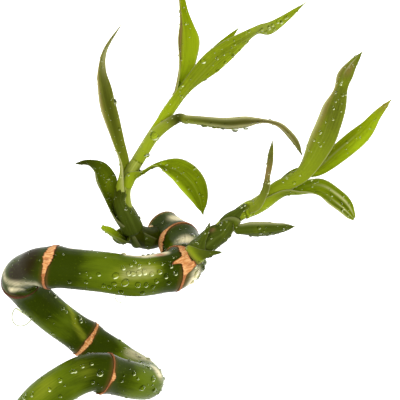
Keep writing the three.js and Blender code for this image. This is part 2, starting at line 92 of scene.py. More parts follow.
# The dry rings: station of the cane, half width, slant up the cane where it faces +Z and +Y, and
# patches: the direction that a patch faces, how much wider the ring is there, how narrow the patch
# is, and which edge it moves, -1 the foot's, 1 the tip's and 0 both
RINGS = {
    "ring_foot": (1, 0.8, (0.5, 0), [((0, 0, 1), 0.5, 3, 0)]),
    "ring_lower_turn": (3, 0.9, (-0.6, 0), [((0.5, 0, 1), 0.5, 3, 0)]),
    "ring_lower_left": (6, 0.8, (0, 0), [((-1, 0, 0.5), 0.6, 3, 0)]),
    "ring_front_arch": (11, 0.25, (-2.8, 0), [
        ((0.35, 0.0, 0.94), 6, 40, 1), ((0, -1, 0.15), 8, 40, -1), ((0, 1, 0), 0.8, 4, 0),
    ]),
    "ring_back": (17, 0.7, (0.3, 0), [((0.05, 0.1, 1), 1.4, 9, 0)]),
    "ring_left_bend": (19, 0.42, (0, 0), [((-1, 0, 0), 0.3, 4, 0)]),
    "ring_front_left": (21, 0.55, (1.2, 1.6), [((0, 0.55, 0.83), 2.4, 6, 0)]),
    "ring_right_shoot": (24, 0.35, (-4.5, 3.5), [
        ((0.1, 0.42, 0.9), 13, 160, -1), ((0.45, 0.12, 0.88), 7, 60, 1), ((0.2, 0.85, 0.48), 4, 30, 0),
        ((0.3, 0.3, 0.9), 2.5, 14, 0),
    ]),
    "ring_left_shoot": (26, 0.5, (0, 0), [
        ((-0.93, -0.1, 0.34), 7, 5, -1), ((-0.93, -0.1, 0.34), 5, 5, 1),
    ]),
}
# The ring that is coloured darker all over than the others
DARK_RING = "ring_left_bend"

# Centre lines of the two shoots' stems: x, y, z, radius
STEMS = {
    "left_stem": [
        (-16, -15, 10, 4.6), (-22.5, -16.5, 15.5, 4.8), (-28.5, -13.5, 21.5, 4.3),
        (-31, -6.5, 27, 3.5), (-32, 1.5, 30.5, 2.9), (-30.5, 8.5, 31.5, 2.7), (-26, 16.5, 32, 2.5),
        (-20, 26.5, 32.5, 2.3), (-15, 34.5, 32, 2), (-10, 42.5, 31.5, 1.2),
    ],
    "right_stem": [
        (-6.5, -26, 38.5, 4), (-2.5, -21.8, 41.5, 4), (3, -17.3, 42, 3.7), (8, -12.8, 42.2, 3.3),
        (12, -8.6, 41, 2.8), (16.8, -5.6, 39.5, 2.6), (25.5, -0.4, 38, 2.8), (33, 5, 36.5, 2.8),
        (40, 11, 34.5, 1.8),
    ],
}

# The leaves and bracts. Each has a tint, and clasps its stem between two fractions of the stem's
# stations, with its midrib on the side given in degrees about the stem, over `layer` other bases.
# The blade's stations are x, y, z of the midrib, half width, roll and curl in degrees. A ragged end
# is torn short by up to that fraction of the leaf.
Leaf = namedtuple("Leaf", "tint clasp side blade layer ragged", defaults=(0, 0.0))
LEAVES = {
    "left_leaf_top": Leaf("bright", (0.94, 1), -60, [
        (-9.5, 47.5, 33, 3.5, -50, 100), (-7.5, 55.5, 34, 5.5, -40, 85), (-6.8, 65, 33, 7, -35, 70),
        (-7, 72.5, 31.5, 4.8, -40, 70), (-8, 80.5, 29, 3, -45, 70), (-8.5, 89, 25.5, 1.8, -45, 60),
        (-8, 97, 21.5, 0.4, -45, 40),
    ]),
    "left_leaf_behind": Leaf("bright", (0.87, 0.93), -10, [
        (-4, 50.5, 27, 2.5, 10, 80), (2, 58, 24.5, 2.5, 20, 40), (9, 65.5, 22.5, 2, 20, 30),
        (16.5, 73.5, 20.5, 0.4, 20, 20),
    ]),
    "left_leaf_long": Leaf("bright", (0.8, 0.88), 130, [
        (-6, 44.5, 35.5, 3.8, 140, 80), (4, 55.5, 36, 4.9, 160, 40), (10.5, 61, 35, 4.6, 160, 30),
        (16.5, 65.5, 33.5, 3.6, 150, 35), (24.5, 70.5, 31, 2.9, 120, 40), (29.5, 72, 29, 2.9, 150, 30),
        (35.5, 76, 26.5, 2.1, 150, 30), (45.5, 84.5, 23, 0.4, 140, 20),
    ]),
    "left_leaf_level": Leaf("olive", (0.66, 0.78), 115, [
        (-9.5, 32, 36, 4, 120, 100), (-5.5, 32, 37.5, 3.4, 118, 75), (2.5, 31.2, 38, 3.7, 120, 50),
        (12, 30.2, 37, 4.6, 124, 45), (20, 31, 35.5, 4.2, 118, 45), (27, 32.2, 34, 2.5, 100, 45),
        (33.5, 30.2, 32.5, 2.5, 112, 40), (39, 25, 30, 2.2, 122, 30), (43, 18.6, 28, 0.4, 120, 20),
    ]),
    "left_leaf_drooping": Leaf("green", (0.5, 0.58), 92, [
        (-23.5, 11, 33.5, 2.2, 92, 90), (-19, 13.6, 35.5, 2.2, 80, 70),
        (-14.2, 13.4, 36.6, 3.8, 40, 45), (-8.4, 11.6, 37, 5.4, 18, 30), (-3.6, 7.4, 36, 5.8, 6, 30),
        (-0.4, 1.4, 33, 3.9, 8, 30), (1.3, -6.3, 29, 0.4, 10, 20),
    ]),
    "left_leaf_tall": Leaf("olive", (0.4, 0.48), -90, [
        (-32.8, 14, 33.8, 4.2, -65, 80), (-35, 24, 35, 4.2, -50, 55),
        (-38.5, 36.5, 36.5, 4.9, -46, 45), (-40.5, 45.5, 36.5, 4.5, -50, 45),
        (-41.5, 54, 35.5, 3.2, -60, 50), (-39.8, 62.5, 34, 1.7, -62, 50),
        (-32.6, 73.6, 31.5, 0.4, -55, 40),
    ]),
    "left_leaf_dark": Leaf("dark", (0.17, 0.28), -60, [
        (-37, -2.5, 29, 5, -45, 75), (-38.5, 3.5, 31, 5.2, -35, 60), (-40, 8.5, 32, 5.1, -30, 50),
        (-42, 12.5, 32, 4, -35, 50), (-46, 15, 31, 2.4, -45, 50), (-52.3, 15.4, 29, 0.7, -45, 30),
    ]),
    "left_bract_front": Leaf("dark", (0.24, 0.36), 165, [
        (-32.8, -0.5, 34.6, 4.4, 172, 95), (-31.9, 4.7, 35, 4.7, 175, 90),
    ], layer=1, ragged=0.16),
    "left_bract_cupped": Leaf("dark", (0.11, 0.2), -90, [
        (-33, -18.5, 24.5, 4, -80, 90), (-37.5, -15, 27, 3.6, -70, 80), (-41.8, -11.8, 28, 2, -65, 60),
    ]),
    "right_leaf_upper": Leaf("bright", (0.9, 1), 10, [
        (49.5, 12.5, 31, 3.2, 10, 60), (57.5, 18.5, 30, 4.6, 15, 55), (64, 24, 30, 4.6, 15, 50),
        (69.5, 29, 29, 4, 15, 50), (74.5, 35.5, 27.5, 2.2, 15, 50), (81.08, 42.7, 25, 0.4, 15, 30),
    ]),
    "right_leaf_tall": Leaf("green", (0.76, 0.87), -125, [
        (42, 12, 40.5, 4.4, -150, 60), (49.5, 24, 40, 5.6, -165, 35), (53, 32, 38, 5.5, -165, 30),
        (55.5, 39, 35.5, 5, -160, 30), (58, 46.5, 33.5, 3.6, -140, 35),
        (60.5, 52.5, 31.5, 3.6, -155, 30), (64, 57.5, 29, 2.2, -155, 30),
        (69, 63, 25.5, 0.4, -150, 20),
    ]),
    "right_leaf_drooping": Leaf("green", (0.64, 0.74), 85, [
        (34.6, 1.6, 36.6, 5, 78, 88), (41, 2.5, 36.2, 5.4, 62, 75), (47, 3.8, 35.2, 5.2, 42, 58),
        (51.5, 3.1, 34, 5.2, 32, 45), (56.5, -0.3, 32.5, 5.2, 30, 45), (61, -4, 30.5, 4.2, 30, 45),
        (64.8, -8, 28, 1.2, 35, 30),
    ], layer=1),
    "right_leaf_slender": Leaf("olive", (0.58, 0.68), -135, [
        (22.5, -0.6, 43.4, 4.2, -115, 75), (25.2, 3.8, 44, 3.4, -110, 65),
        (26.6, 9, 42.5, 3.1, -100, 60), (27.8, 16, 40.5, 2.6, -112, 50), (30, 25, 37, 0.4, -120, 30),
    ]),
    "right_bract_behind": Leaf("dark", (0.44, 0.52), -130, [
        (15.4, -3.8, 43.4, 2.8, -140, 75), (19.2, -1.6, 43, 0.5, -140, 40),
    ]),
    "right_leaf_level": Leaf("dark", (0.38, 0.45), 115, [
        (15.5, -13.2, 45, 4, 130, 85), (21, -13.2, 46.5, 4.6, 140, 60),
        (28.5, -12.8, 45.5, 4.1, 140, 50), (33.5, -12, 44, 2.7, 140, 45),
        (38.9, -10.8, 41.5, 0.4, 140, 30),
    ]),
    "right_bract_round": Leaf("dark", (0.21, 0.31), 172, [
        (8.6, -13.8, 47.8, 5.2, 178, 88), (10.8, -11, 47.2, 4.6, 180, 82),
        (12.3, -8.6, 46.4, 2.2, 182, 70),
    ], layer=1),
    "right_bract_pointed": Leaf("dark", (0.1, 0.18), -140, [
        (0.4, -15.6, 46.6, 2.6, -130, 70), (2, -12.8, 46.8, 1.9, -125, 60), (4, -9, 46, 0.4, -120, 40),
    ]),
    "right_bract_lower": Leaf("dark", (0.08, 0.14), 125, [
        (3.4, -22.8, 46.5, 3, 130, 75), (9, -21, 46.5, 0.6, 130, 40),
    ], layer=1),
}


def unit(vectors):
    """Each vector divided by its own length."""
    return vectors / np.linalg.norm(vectors, axis=-1, keepdims=True)


def dot(a, b):
    """Scalar product over the last axis, which is kept."""
    return np.sum(a * b, axis=-1, keepdims=True)


def bell(distance, centre, reach):
    """The bell curve exp(-(x / reach)^2) of the distance from a centre."""
    return np.exp(-(((distance - centre) / reach) ** 2))


def smoothstep(x, low, high):
    """0 up to low, 1 from high on, and the cubic 3x^2 - 2x^3 between them. It falls instead where low is
    the higher one."""
    x = np.clip((x - low) / (high - low), 0, 1)
    return x * x * (3 - 2 * x)


def ripple(x, seed, waves, strength=1.0):
    """A smooth, repeatable wobble: a sum of sines with whole wave numbers and drawn phases."""
    draw = np.random.default_rng(seed)
    total = np.zeros_like(x, dtype=float)
    for wave in waves:
        total += np.sin(wave * x + draw.uniform(0, 2 * np.pi)) * draw.uniform(0.5, 1)
    return strength * total / np.sqrt(len(waves))


def turn(count):
    """That many angles, spread evenly over one full turn."""
    return np.linspace(0, 2 * np.pi, count, endpoint=False)


def spoke(angle, first, second):
    """The direction that lies at an angle from a first one towards a second one."""
    return np.cos(angle)[..., None] * first + np.sin(angle)[..., None] * second


def unrolled(radius, angle, distance):
    """Where each point would lie if the piece were straight, for patterns that follow its bends."""
    return np.stack([radius * np.cos(angle), radius * np.sin(angle), distance], -1)


def side_by_side(*masks):
    """Masks as one set of numbers at every point, filled up to three as a mesh takes them."""
    shape = np.broadcast_shapes(*(np.shape(mask) for mask in masks))
    filled = [*masks, *[0.0] * (3 - len(masks))]
    return np.stack([np.broadcast_to(mask, shape) for mask in filled], -1)


class Route:
    """A smooth curve through rows of numbers, measured along its length.

    Between two rows each column is the cubic whose slope at a row is half the step from the row
    before to the row after. Past the ends the last step is repeated.
    """

    SAMPLES = 40

    def __init__(self, rows):
        self.rows = np.asarray(rows, float)
        first, last = 2 * self.rows[0] - self.rows[1], 2 * self.rows[-1] - self.rows[-2]
        self.padded = np.vstack([first, self.rows, last])
        self.shares = np.linspace(0, 1, self.SAMPLES * (len(self.rows) - 1) + 1)
        steps = np.linalg.norm(np.diff(self.at(self.shares)[:, :3], axis=0), axis=1)
        self.distances = np.concatenate([[0.0], np.cumsum(steps)])
        self.length = self.distances[-1]
        self.normals = self._normals()

    def _cubic(self, share):
        place = np.clip(share, 0, 1) * (len(self.rows) - 1)
        i = np.minimum(place.astype(int), len(self.rows) - 2)
        a, b, c, d = (self.padded[i + k] for k in range(4))
        slope_in, slope_out = (c - a) / 2, (d - b) / 2
        bend = 3 * (c - b) - 2 * slope_in - slope_out
        twist = 2 * (b - c) + slope_in + slope_out
        return b, slope_in, bend, twist, (place - i)[..., None]

    def at(self, share):
        """Every column at a share of the rows, from 0 to 1."""
        start, slope, bend, twist, f = self._cubic(np.asarray(share, float))
        return start + f * (slope + f * (bend + f * twist))

    def heading(self, share):
        """Unit tangent at a share of the rows."""
        _, slope, bend, twist, f = self._cubic(np.asarray(share, float))
        return unit((slope + f * (2 * bend + 3 * f * twist))[..., :3])

    def share(self, distance):
        """The share of the rows that lies at a distance along the curve."""
        return np.interp(distance, self.distances, self.shares)

    def _normals(self):
        """Normals that don't turn about the curve: each is the last one, put square to the tangent."""
        normal = UP
        normals = []
        for heading in self.heading(self.shares):
            normal = unit(normal - dot(normal, heading) * heading)
            normals.append(normal)
        return np.array(normals)

    def sides(self, distance):
        """Normal and binormal at a distance along the curve."""
        heading = self.heading(self.share(distance))
        columns = [np.interp(distance, self.distances, self.normals[:, k]) for k in range(3)]
        normal = np.stack(columns, -1)
        normal = unit(normal - dot(normal, heading) * heading)
        return normal, np.cross(heading, normal)


cane_route = Route(CANE_ROUTE)
stem_routes = {name: Route(rows) for name, rows in STEMS.items()}
ring_places = {
    name: cane_route.distances[station * Route.SAMPLES] for name, (station, *_) in RINGS.items()
}

WELD_DISTANCE = 1e-6


def signed_volume(points, faces):
    """Six times the volume that the faces enclose: the triple products of both triangles of each face,
    added up. It is under 0 where the faces look inwards."""
    a, b, c, d = (points[faces[:, k]] for k in range(4))
    return np.sum(np.cross(a, b) * c) + np.sum(np.cross(a, c) * d)


def make_piece(name, points, values, material, slot, ring_of_rows=False, rows_each=None):
    """A closed mesh over a grid of points in millimetres, whose columns close on themselves.

    With ring_of_rows the rows do too, and with rows_each the grid holds many closed shells of that
    many rows. Points that meet are welded. values are numbers at every point, kept as attributes.
    """
    rows, columns = points.shape[:2]
    rows_each = rows_each or rows
    flat = points.reshape(-1, 3)
    i, j = np.meshgrid(np.arange(rows), np.arange(columns), indexing="ij")
    kept = (i % rows_each < rows_each - 1) | ring_of_rows
    i, j = i[kept], j[kept]
    corner_row = np.stack([i, i, i + 1, i + 1], -1)
    corner_column = np.stack([j, j + 1, j + 1, j], -1)
    faces = (corner_row % rows) * columns + corner_column % columns
    if signed_volume(flat, faces) < 0:
        faces, corner_row, corner_column = (
            corners[:, ::-1] for corners in (faces, corner_row, corner_column)
        )
    mesh = bpy.data.meshes.new(name)
    mesh.vertices.add(len(flat))
    mesh.vertices.foreach_set("co", ((flat + TO_ORIGIN) * MM).astype(np.float32).ravel())
    mesh.loops.add(faces.size)
    mesh.loops.foreach_set("vertex_index", faces.astype(np.int32).ravel())
    mesh.polygons.add(len(faces))
    mesh.polygons.foreach_set("loop_start", np.arange(0, faces.size, 4, dtype=np.int32))
    mesh.update(calc_edges=True)
    unwrapped = np.stack([corner_column / columns, corner_row / rows], -1)
    layer = mesh.uv_layers.new(name="UVMap")
    layer.data.foreach_set("uv", unwrapped.astype(np.float32).ravel())
    for key, numbers in values.items():
        kind, field = {3: ("FLOAT_VECTOR", "vector"), 4: ("FLOAT_COLOR", "color")}[numbers.shape[-1]]
        attribute = mesh.attributes.new(key, kind, "POINT")
        attribute.data.foreach_set(field, numbers.astype(np.float32).ravel())
    welded = bmesh.new()
    welded.from_mesh(mesh)
    bmesh.ops.remove_doubles(welded, verts=welded.verts, dist=WELD_DISTANCE)
    welded.to_mesh(mesh)
    welded.free()
    mesh.shade_smooth()
    mesh.materials.append(material)
    piece = bpy.data.objects.new(name, mesh)
    bpy.context.scene.collection.objects.link(piece)
    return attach(piece, "root")


class Nodes:
    """Fills the node tree of a material or a world, so that it reads as a list of steps."""

    def __init__(self, owner):
        owner.use_nodes = True
        self.owner = owner
        self.tree = owner.node_tree
        self.tree.nodes.clear()

    def node(self, kind, inputs, **settings):
        """A new node. Its inputs are linked or set, and a colour of three numbers is made opaque."""
        node = self.tree.nodes.new(kind)
        for key, value in settings.items():
            setattr(node, key, value)
        for key, value in inputs.items():
            socket = node.inputs[key]
            if isinstance(value, bpy.types.NodeSocket):
                self.tree.links.new(value, socket)
            else:
                socket.default_value = (*value, 1.0) if socket.type == "RGBA" else value
        return node

    def add(self, kind, inputs, output=0, **settings):
        """One output of a new node."""
        return self.node(kind, inputs, **settings).outputs[output]

    def math(self, operation, a, b=0.0):
        return self.add("ShaderNodeMath", {0: a, 1: b}, operation=operation)

    def times(self, a, b):
        return self.math("MULTIPLY", a, b)

    def plus(self, a, b):
        return self.math("ADD", a, b)

    def between(self, share, low, high):
        """0 below low and 1 above high, smoothly. It falls where low is the higher one."""
        inputs = {"Value": share, "From Min": low, "From Max": high}
        return self.add("ShaderNodeMapRange", inputs, "Result", interpolation_type="SMOOTHSTEP")

    def noise(self, vector, stretch, detail=3.0, roughness=0.55, distortion=0.0):
        """Noise over the vector times a stretch along each axis."""
        vector = self.add("ShaderNodeMapping", {"Vector": vector, "Scale": stretch})
        inputs = {"Vector": vector, "Scale": 1.0, "Detail": detail, "Roughness": roughness}
        inputs["Distortion"] = distortion
        return self.add("ShaderNodeTexNoise", inputs, "Fac")

    def attribute(self, name):
        """The numbers that a mesh keeps at each point under a name, as a vector."""
        return self.add("ShaderNodeAttribute", {}, "Vector", attribute_name=name)

    def apart(self, vector):
        return self.node("ShaderNodeSeparateXYZ", {"Vector": vector}).outputs

    def masks(self, name):
        """The numbers that a mesh keeps at each point under a name, one by one, four at most."""
        kept = self.node("ShaderNodeAttribute", {}, attribute_name=name).outputs
        return [*self.apart(kept["Vector"]), kept["Alpha"]]

    def mix(self, share, a, b):
        """Colour b over colour a, by a share from 0 to 1."""
        return self.add("ShaderNodeMix", {0: share, 6: a, 7: b}, 2, data_type="RGBA")

    def bump(self, height, distance, strength):
        inputs = {"Height": height, "Distance": distance, "Strength": strength}
        return self.add("ShaderNodeBump", inputs, "Normal")

    def blend(self, share, a, b):
        """Shader b over shader a, by a share from 0 to 1."""
        return self.add("ShaderNodeMixShader", {0: share, 1: a, 2: b})

    def finish(self, shader):
        """Links the shader to the output, and gives back the finished material or world."""
        self.node(f"ShaderNodeOutput{type(self.owner).__name__}", {"Surface": shader})
        return self.owner


def new_material(name):
    """The nodes of a new material."""
    return Nodes(bpy.data.materials.new(name))


# Cane

# The cut faces from the centre to the rim: share of the radius, and depth along the cane
FOOT_FACE = [(0.0, 0.9), (0.35, 0.85), (0.7, 0.7), (0.9, 0.45), (0.97, 0.1), (1.0, 0.5)]
TOP_FACE = [
    (1.0, 0.9), (1.035, 0.45), (1.0, 0.1), (0.9, 0.35), (0.75, 1.0), (0.5, 1.5), (0.2, 1.6),
    (0.0, 1.6),
]
# Along the cane, in millimetres: how far a node's swelling and a ring's slant reach, how much wider
# than a ring its dent and its brown edge are, how far that edge fades, between which distances from a
# node the dark skin gives way, and between which depths the skin gives way to either cut's wood
SWELLING_REACH = 3.5
SLANT_REACH = 10.0
DENT_MARGIN = 0.5
EDGE_MARGIN = 0.4
EDGE_REACH = 0.7
NODE_SHADE = (2.0, 16.0)
FOOT_RIM = (0.9, 0.3)
TOP_RIM = (1.2, 0.6)


def cane_radius(distance, angle):
    """Radius of the skin: the internode's own, swollen by a bell round each node, dented under each
    ring. Two and three low lumps wind slowly about it, the first swelling and fading along the cane,
    and 26 and 41 fine ribs sway along it, each a sine of the angle and the distance."""
    settings = bpy.context.scene.bamboo_cane
    radius = cane_route.at(cane_route.share(distance))[..., 3]
    for name, (_, half, *_) in RINGS.items():
        place = ring_places[name]
        radius = radius + settings.swelling / MM * bell(distance, place, SWELLING_REACH)
        radius = radius - settings.dent / MM * bell(distance, place, half + DENT_MARGIN)
    lumps = np.sin(2 * angle + 0.043 * distance) * np.sin(0.09 * distance)
    lumps = lumps + 0.6 * np.sin(3 * angle - 0.071 * distance + 1.3)
    ribs = np.cos(26 * angle + 0.8 * np.sin(0.05 * distance))
    ribs = ribs + 0.6 * np.cos(41 * angle + 2.0 * np.sin(0.031 * distance))
    return radius + settings.lumps / MM * lumps + settings.ribs / MM * ribs


def cane_point(distance, angle, lift=0.0):
    """The point of the skin at a distance along the cane and an angle about it, and the direction out.

    The point is the centre line's, plus the radius in the direction of the angle. Near a slanted
    ring the distance is first pushed by the slant times the direction times a bell.
    """
    out = spoke(angle, *cane_route.sides(distance))
    push = np.zeros(np.shape(distance))
    for name, (_, _, slant, _) in RINGS.items():
        lean = slant[0] * out[..., 2] + slant[1] * out[..., 1]
        push = push + lean * bell(distance, ring_places[name], SLANT_REACH)
    share = cane_route.share(np.clip(distance + push, 0, cane_route.length))
    centre = cane_route.at(share)[..., :3]
    forward = cane_route.heading(share)
    out = unit(out - dot(out, forward) * forward)
    skin = centre + out * (cane_radius(distance, angle) + lift)[..., None]
    skin[..., 2] = np.maximum(skin[..., 2], 0.0)
    return skin, out, centre


def cane_skin(settings):
    """The whole cane as one grid: rows along it and sides about it, with the rows at both ends drawn
    in to the centre line, each by its share of the radius, to make the two cut faces."""
    foot_shares, foot_depths = np.array(FOOT_FACE).T
    top_shares, top_depths = np.array(TOP_FACE).T
    rows = int(cane_route.length / settings.step * MM)
    body = np.linspace(foot_depths[-1], cane_route.length - top_depths[0], rows)[1:-1]
    distance = np.concatenate([foot_depths, body, cane_route.length - top_depths])
    share = np.concatenate([foot_shares, np.ones(len(body)), top_shares])
    distance, angle = np.meshgrid(distance, turn(settings.sides), indexing="ij")
    share = np.broadcast_to(share[:, None], distance.shape)
    skin, _, centre = cane_point(distance, angle)
    points = centre + share[..., None] * (skin - centre)
    points[..., 2] = np.clip(points[..., 2], 0.0, CAD_TOP)
    return points, {
        "straight": unrolled(cane_radius(distance, angle) * share, angle, distance),
        "marks": cane_patches(points), "zones": cane_zones(distance),
    }


# Patches of colour on the cane: kind, the place or the line that they spread from, reach and strength.
# The first kind is a painted soft highlight in yellow green, the second a painted pale reflection on the
# bends, and the third painted shade, which goes over from dark green to dark brown between the
# strengths 1 and 2.
PAINTED_HIGHLIGHT, PAINTED_SHEEN, SHADE, RED = range(4)
CANE_PATCHES = [
    (PAINTED_HIGHLIGHT, [(-31, -30, 58), (-18, -28, 57)], 5, 0.7),
    (PAINTED_HIGHLIGHT, [(-38, -24, 58)], 4, 0.15),
    (PAINTED_HIGHLIGHT, [(-56.7, -46.2, 15), (-53.4, -53.9, 17.6), (-50.1, -59.3, 16.2)], 2.1, 0.75),
    (PAINTED_HIGHLIGHT, [(-75, -45, 21), (-69, -50, 18)], 2.5, 0.8),
    (PAINTED_HIGHLIGHT, [(-67, -84, 53), (-60, -73, 57)], 6, 0.6),
    (PAINTED_HIGHLIGHT, [(-46, -67, 57)], 6, 0.5),
    (PAINTED_HIGHLIGHT, [(-72, -104, 34)], 8, 0.7),
    (PAINTED_HIGHLIGHT, [(-45, -175, 16)], 12, 0.8),
    (PAINTED_SHEEN, [
        (-81, -29.5, 36), (-80, -33.5, 37.5), (-75, -34.5, 42), (-70, -34, 46.5), (-65, -34, 50.5),
    ], 2.6, 0.44),
    (PAINTED_SHEEN, [(-78, -37, 37), (-73.5, -36.8, 40)], 2.2, 0.6),
    (PAINTED_SHEEN, [(-80.5, -22, 38), (-82.5, -30, 32)], 2.4, 0.7),
    (PAINTED_SHEEN, [(-29, -66, 14), (-23, -70, 19)], 4.2, 0.6),
    (PAINTED_SHEEN, [(-18.5, -72.5, 30)], 4, 0.9),
    (PAINTED_SHEEN, [(-29, -29, 58.5), (-19, -28, 57.5)], 3.5, 0.35),
    (PAINTED_SHEEN, [(-52, -19.4, 50), (-30, -21, 51.5)], 1.5, 0.6),
    (PAINTED_SHEEN, [(-30, -21.4, 52), (-22, -22.4, 51), (-14, -21, 47)], 2.0, 0.9),
    (PAINTED_SHEEN, [(-3, -31.5, 43)], 5, 1.0),
    (PAINTED_SHEEN, [(-6, -17, 33)], 5, 0.9),
    (PAINTED_SHEEN, [(-10, -8.5, 13)], 4, 0.9),
    (SHADE, [(-52, -27, 57)], 9, 0.9),
    (SHADE, [(-68, -25, 48)], 10, 2.2),
    (SHADE, [(-72, -27, 50), (-76, -30, 44)], 6.5, 2.2),
    (SHADE, [(-79.5, -38, 35), (-77, -39, 35.3), (-73.5, -40, 34.7)], 1.3, 1.9),
    (SHADE, [(-70, -38, 36), (-67, -37, 41)], 2.4, 1.6),
    (SHADE, [(-65, -42, 25)], 9, 1.2),
    (SHADE, [(-41, -62, 15)], 7, 0.9),
    (SHADE, [(-8, -12, 28)], 7, 0.9),
    (SHADE, [(-18, -8, 11)], 6, 0.9),
    (SHADE, [(-24, -15, 14)], 8, 0.8),
    (SHADE, [(-32, -69, 45)], 4, 0.7),
    (SHADE, [(-12, -26, 48)], 5, 0.6),
    (RED, [(-17.2, -21.6, 49.5), (-15.2, -21.4, 48.5)], 1.1, 1.0),
]


def distance_to_line(points, line):
    """Distance from each point to a line of straight stretches: to the nearest point of the nearest
    stretch, found by the share of the way along it, kept between 0 and 1."""
    line = np.array(line, float)
    nearest = np.linalg.norm(points - line[0], axis=-1)
    for start, end in zip(line[:-1], line[1:]):
        share = np.clip((points - start) @ (end - start) / np.sum((end - start) ** 2), 0, 1)
        gap = np.linalg.norm(points - start - share[..., None] * (end - start), axis=-1)
        nearest = np.minimum(nearest, gap)
    return nearest


def cane_patches(points):
    """A mask for each kind of patch: the strongest, at every point, of the patches' strengths times a
    bell of the distance from their lines."""
    masks = np.zeros((*points.shape[:-1], 4))
    for kind, line, reach, strength in CANE_PATCHES:
        patch = strength * bell(distance_to_line(points, line), 0, reach)
        masks[..., kind] = np.maximum(masks[..., kind], patch)
    return masks


def cane_zones(distance):
    """Masks for how far a point is from the nodes, whether it is on a cut face, and how near it is to
    a ring's edge."""
    open_skin = np.ones(distance.shape)
    edge = np.zeros(distance.shape)
    for name, (_, half, *_) in RINGS.items():
        gap = np.abs(distance - ring_places[name])
        open_skin = open_skin * smoothstep(gap, *NODE_SHADE)
        edge = np.maximum(edge, bell(gap, half + EDGE_MARGIN, EDGE_REACH))
    foot = smoothstep(distance, *FOOT_RIM)
    top = smoothstep(cane_route.length - distance, *TOP_RIM)
    return side_by_side(open_skin, np.maximum(foot, top), edge)


def cane_material(settings):
    """Glossy green skin: fine streaks along the cane over dark and yellow green; painted yellow-green
    highlights, painted cream sheen, painted shade in dark green and dark brown, and red where the
    patches are; brown at the rings' edges, and dry wood with pores on the cuts."""
    nodes = new_material("cane_green_skin")
    straight = nodes.attribute("straight")
    patch = nodes.masks("marks")
    open_skin, cut, ring_edge, _ = nodes.masks("zones")
    streaks = nodes.noise(straight, (1.8, 1.8, 0.05), 4.0, 0.6)
    mottle = nodes.noise(straight, (0.14, 0.14, 0.06), 3.0, 0.6, 0.4)
    specks = nodes.noise(straight, (1.5, 1.5, 0.9), 2.0)
    light = nodes.plus(nodes.times(mottle, open_skin), nodes.times(streaks, 0.3))
    light = nodes.plus(light, nodes.times(patch[SHADE], -0.6))
    colour = nodes.mix(nodes.between(light, 0.15, 0.8), settings.dark, settings.green)
    colour = nodes.mix(nodes.between(patch[SHADE], 0.9, 1.9), colour, settings.deep)
    # Painted soft highlights in yellow green, broken up by the mottle and the streaks
    glow = patch[PAINTED_HIGHLIGHT]
    for noise in (mottle, streaks):
        glow = nodes.plus(glow, nodes.times(nodes.plus(noise, -0.5), 0.5))
    colour = nodes.mix(nodes.between(glow, 0.15, 1.1), colour, settings.yellow)
    # Painted pale reflections over the bends, made uneven by the mottle and the streaks
    uneven = nodes.plus(nodes.times(mottle, 1.2), nodes.times(streaks, 0.8))
    cream = nodes.between(nodes.times(patch[PAINTED_SHEEN], uneven), 0.1, 0.9)
    colour = nodes.mix(cream, colour, settings.cream)
    speckled = nodes.times(nodes.between(specks, 0.62, 0.75), 0.5)
    colour = nodes.mix(speckled, colour, settings.green)
    colour = nodes.mix(nodes.times(ring_edge, 0.8), colour, settings.ring_edge)
    colour = nodes.mix(patch[RED], colour, settings.bruise)
    pores = nodes.noise(straight, (2.2, 2.2, 0.1), 3.0)
    wood = nodes.mix(nodes.between(pores, 0.4, 0.6), settings.cut_dark, settings.cut_pale)
    dryness = {"Value": cut, "To Min": settings.roughness, "To Max": 0.8}
    relief = nodes.plus(nodes.times(streaks, 0.7), nodes.times(specks, 0.3))
    return nodes.finish(nodes.add("ShaderNodeBsdfPrincipled", {
        "Base Color": nodes.mix(cut, colour, wood),
        "Roughness": nodes.add("ShaderNodeMapRange", dryness),
        "Normal": nodes.bump(relief, 0.0002, 0.4),
        "IOR": settings.gloss,
    }))


# Rings

RING_SIDES = 220
RING_COLUMNS = 12
# Thickness of the paper, how far it stands off the skin, at the least too, and how much its edges
# curl: at any ring, and more for its share of breadth up to a broadest one
PAPER = 0.22
PAPER_LIFT = 0.2
LOWEST_LIFT = 0.08
CURL = 0.08
CURL_BY_BREADTH = 0.06
BROADEST = 4
# The waves about a ring that tear its edges and crinkle it, with their heights, and the narrowest and
# widest share of its width that the teeth leave
TEETH = [2, 3, 5, 9, 14, 23, 37, 58]
TOOTH_HEIGHT = 0.24
TORN_WIDTH = (0.4, 1.7)
CRINKLES = [11, 19, 31, 47]
CRINKLE_HEIGHT = 0.06
# Radius at which the fibres' pattern is wrapped round
PATTERN_RADIUS = 8.0


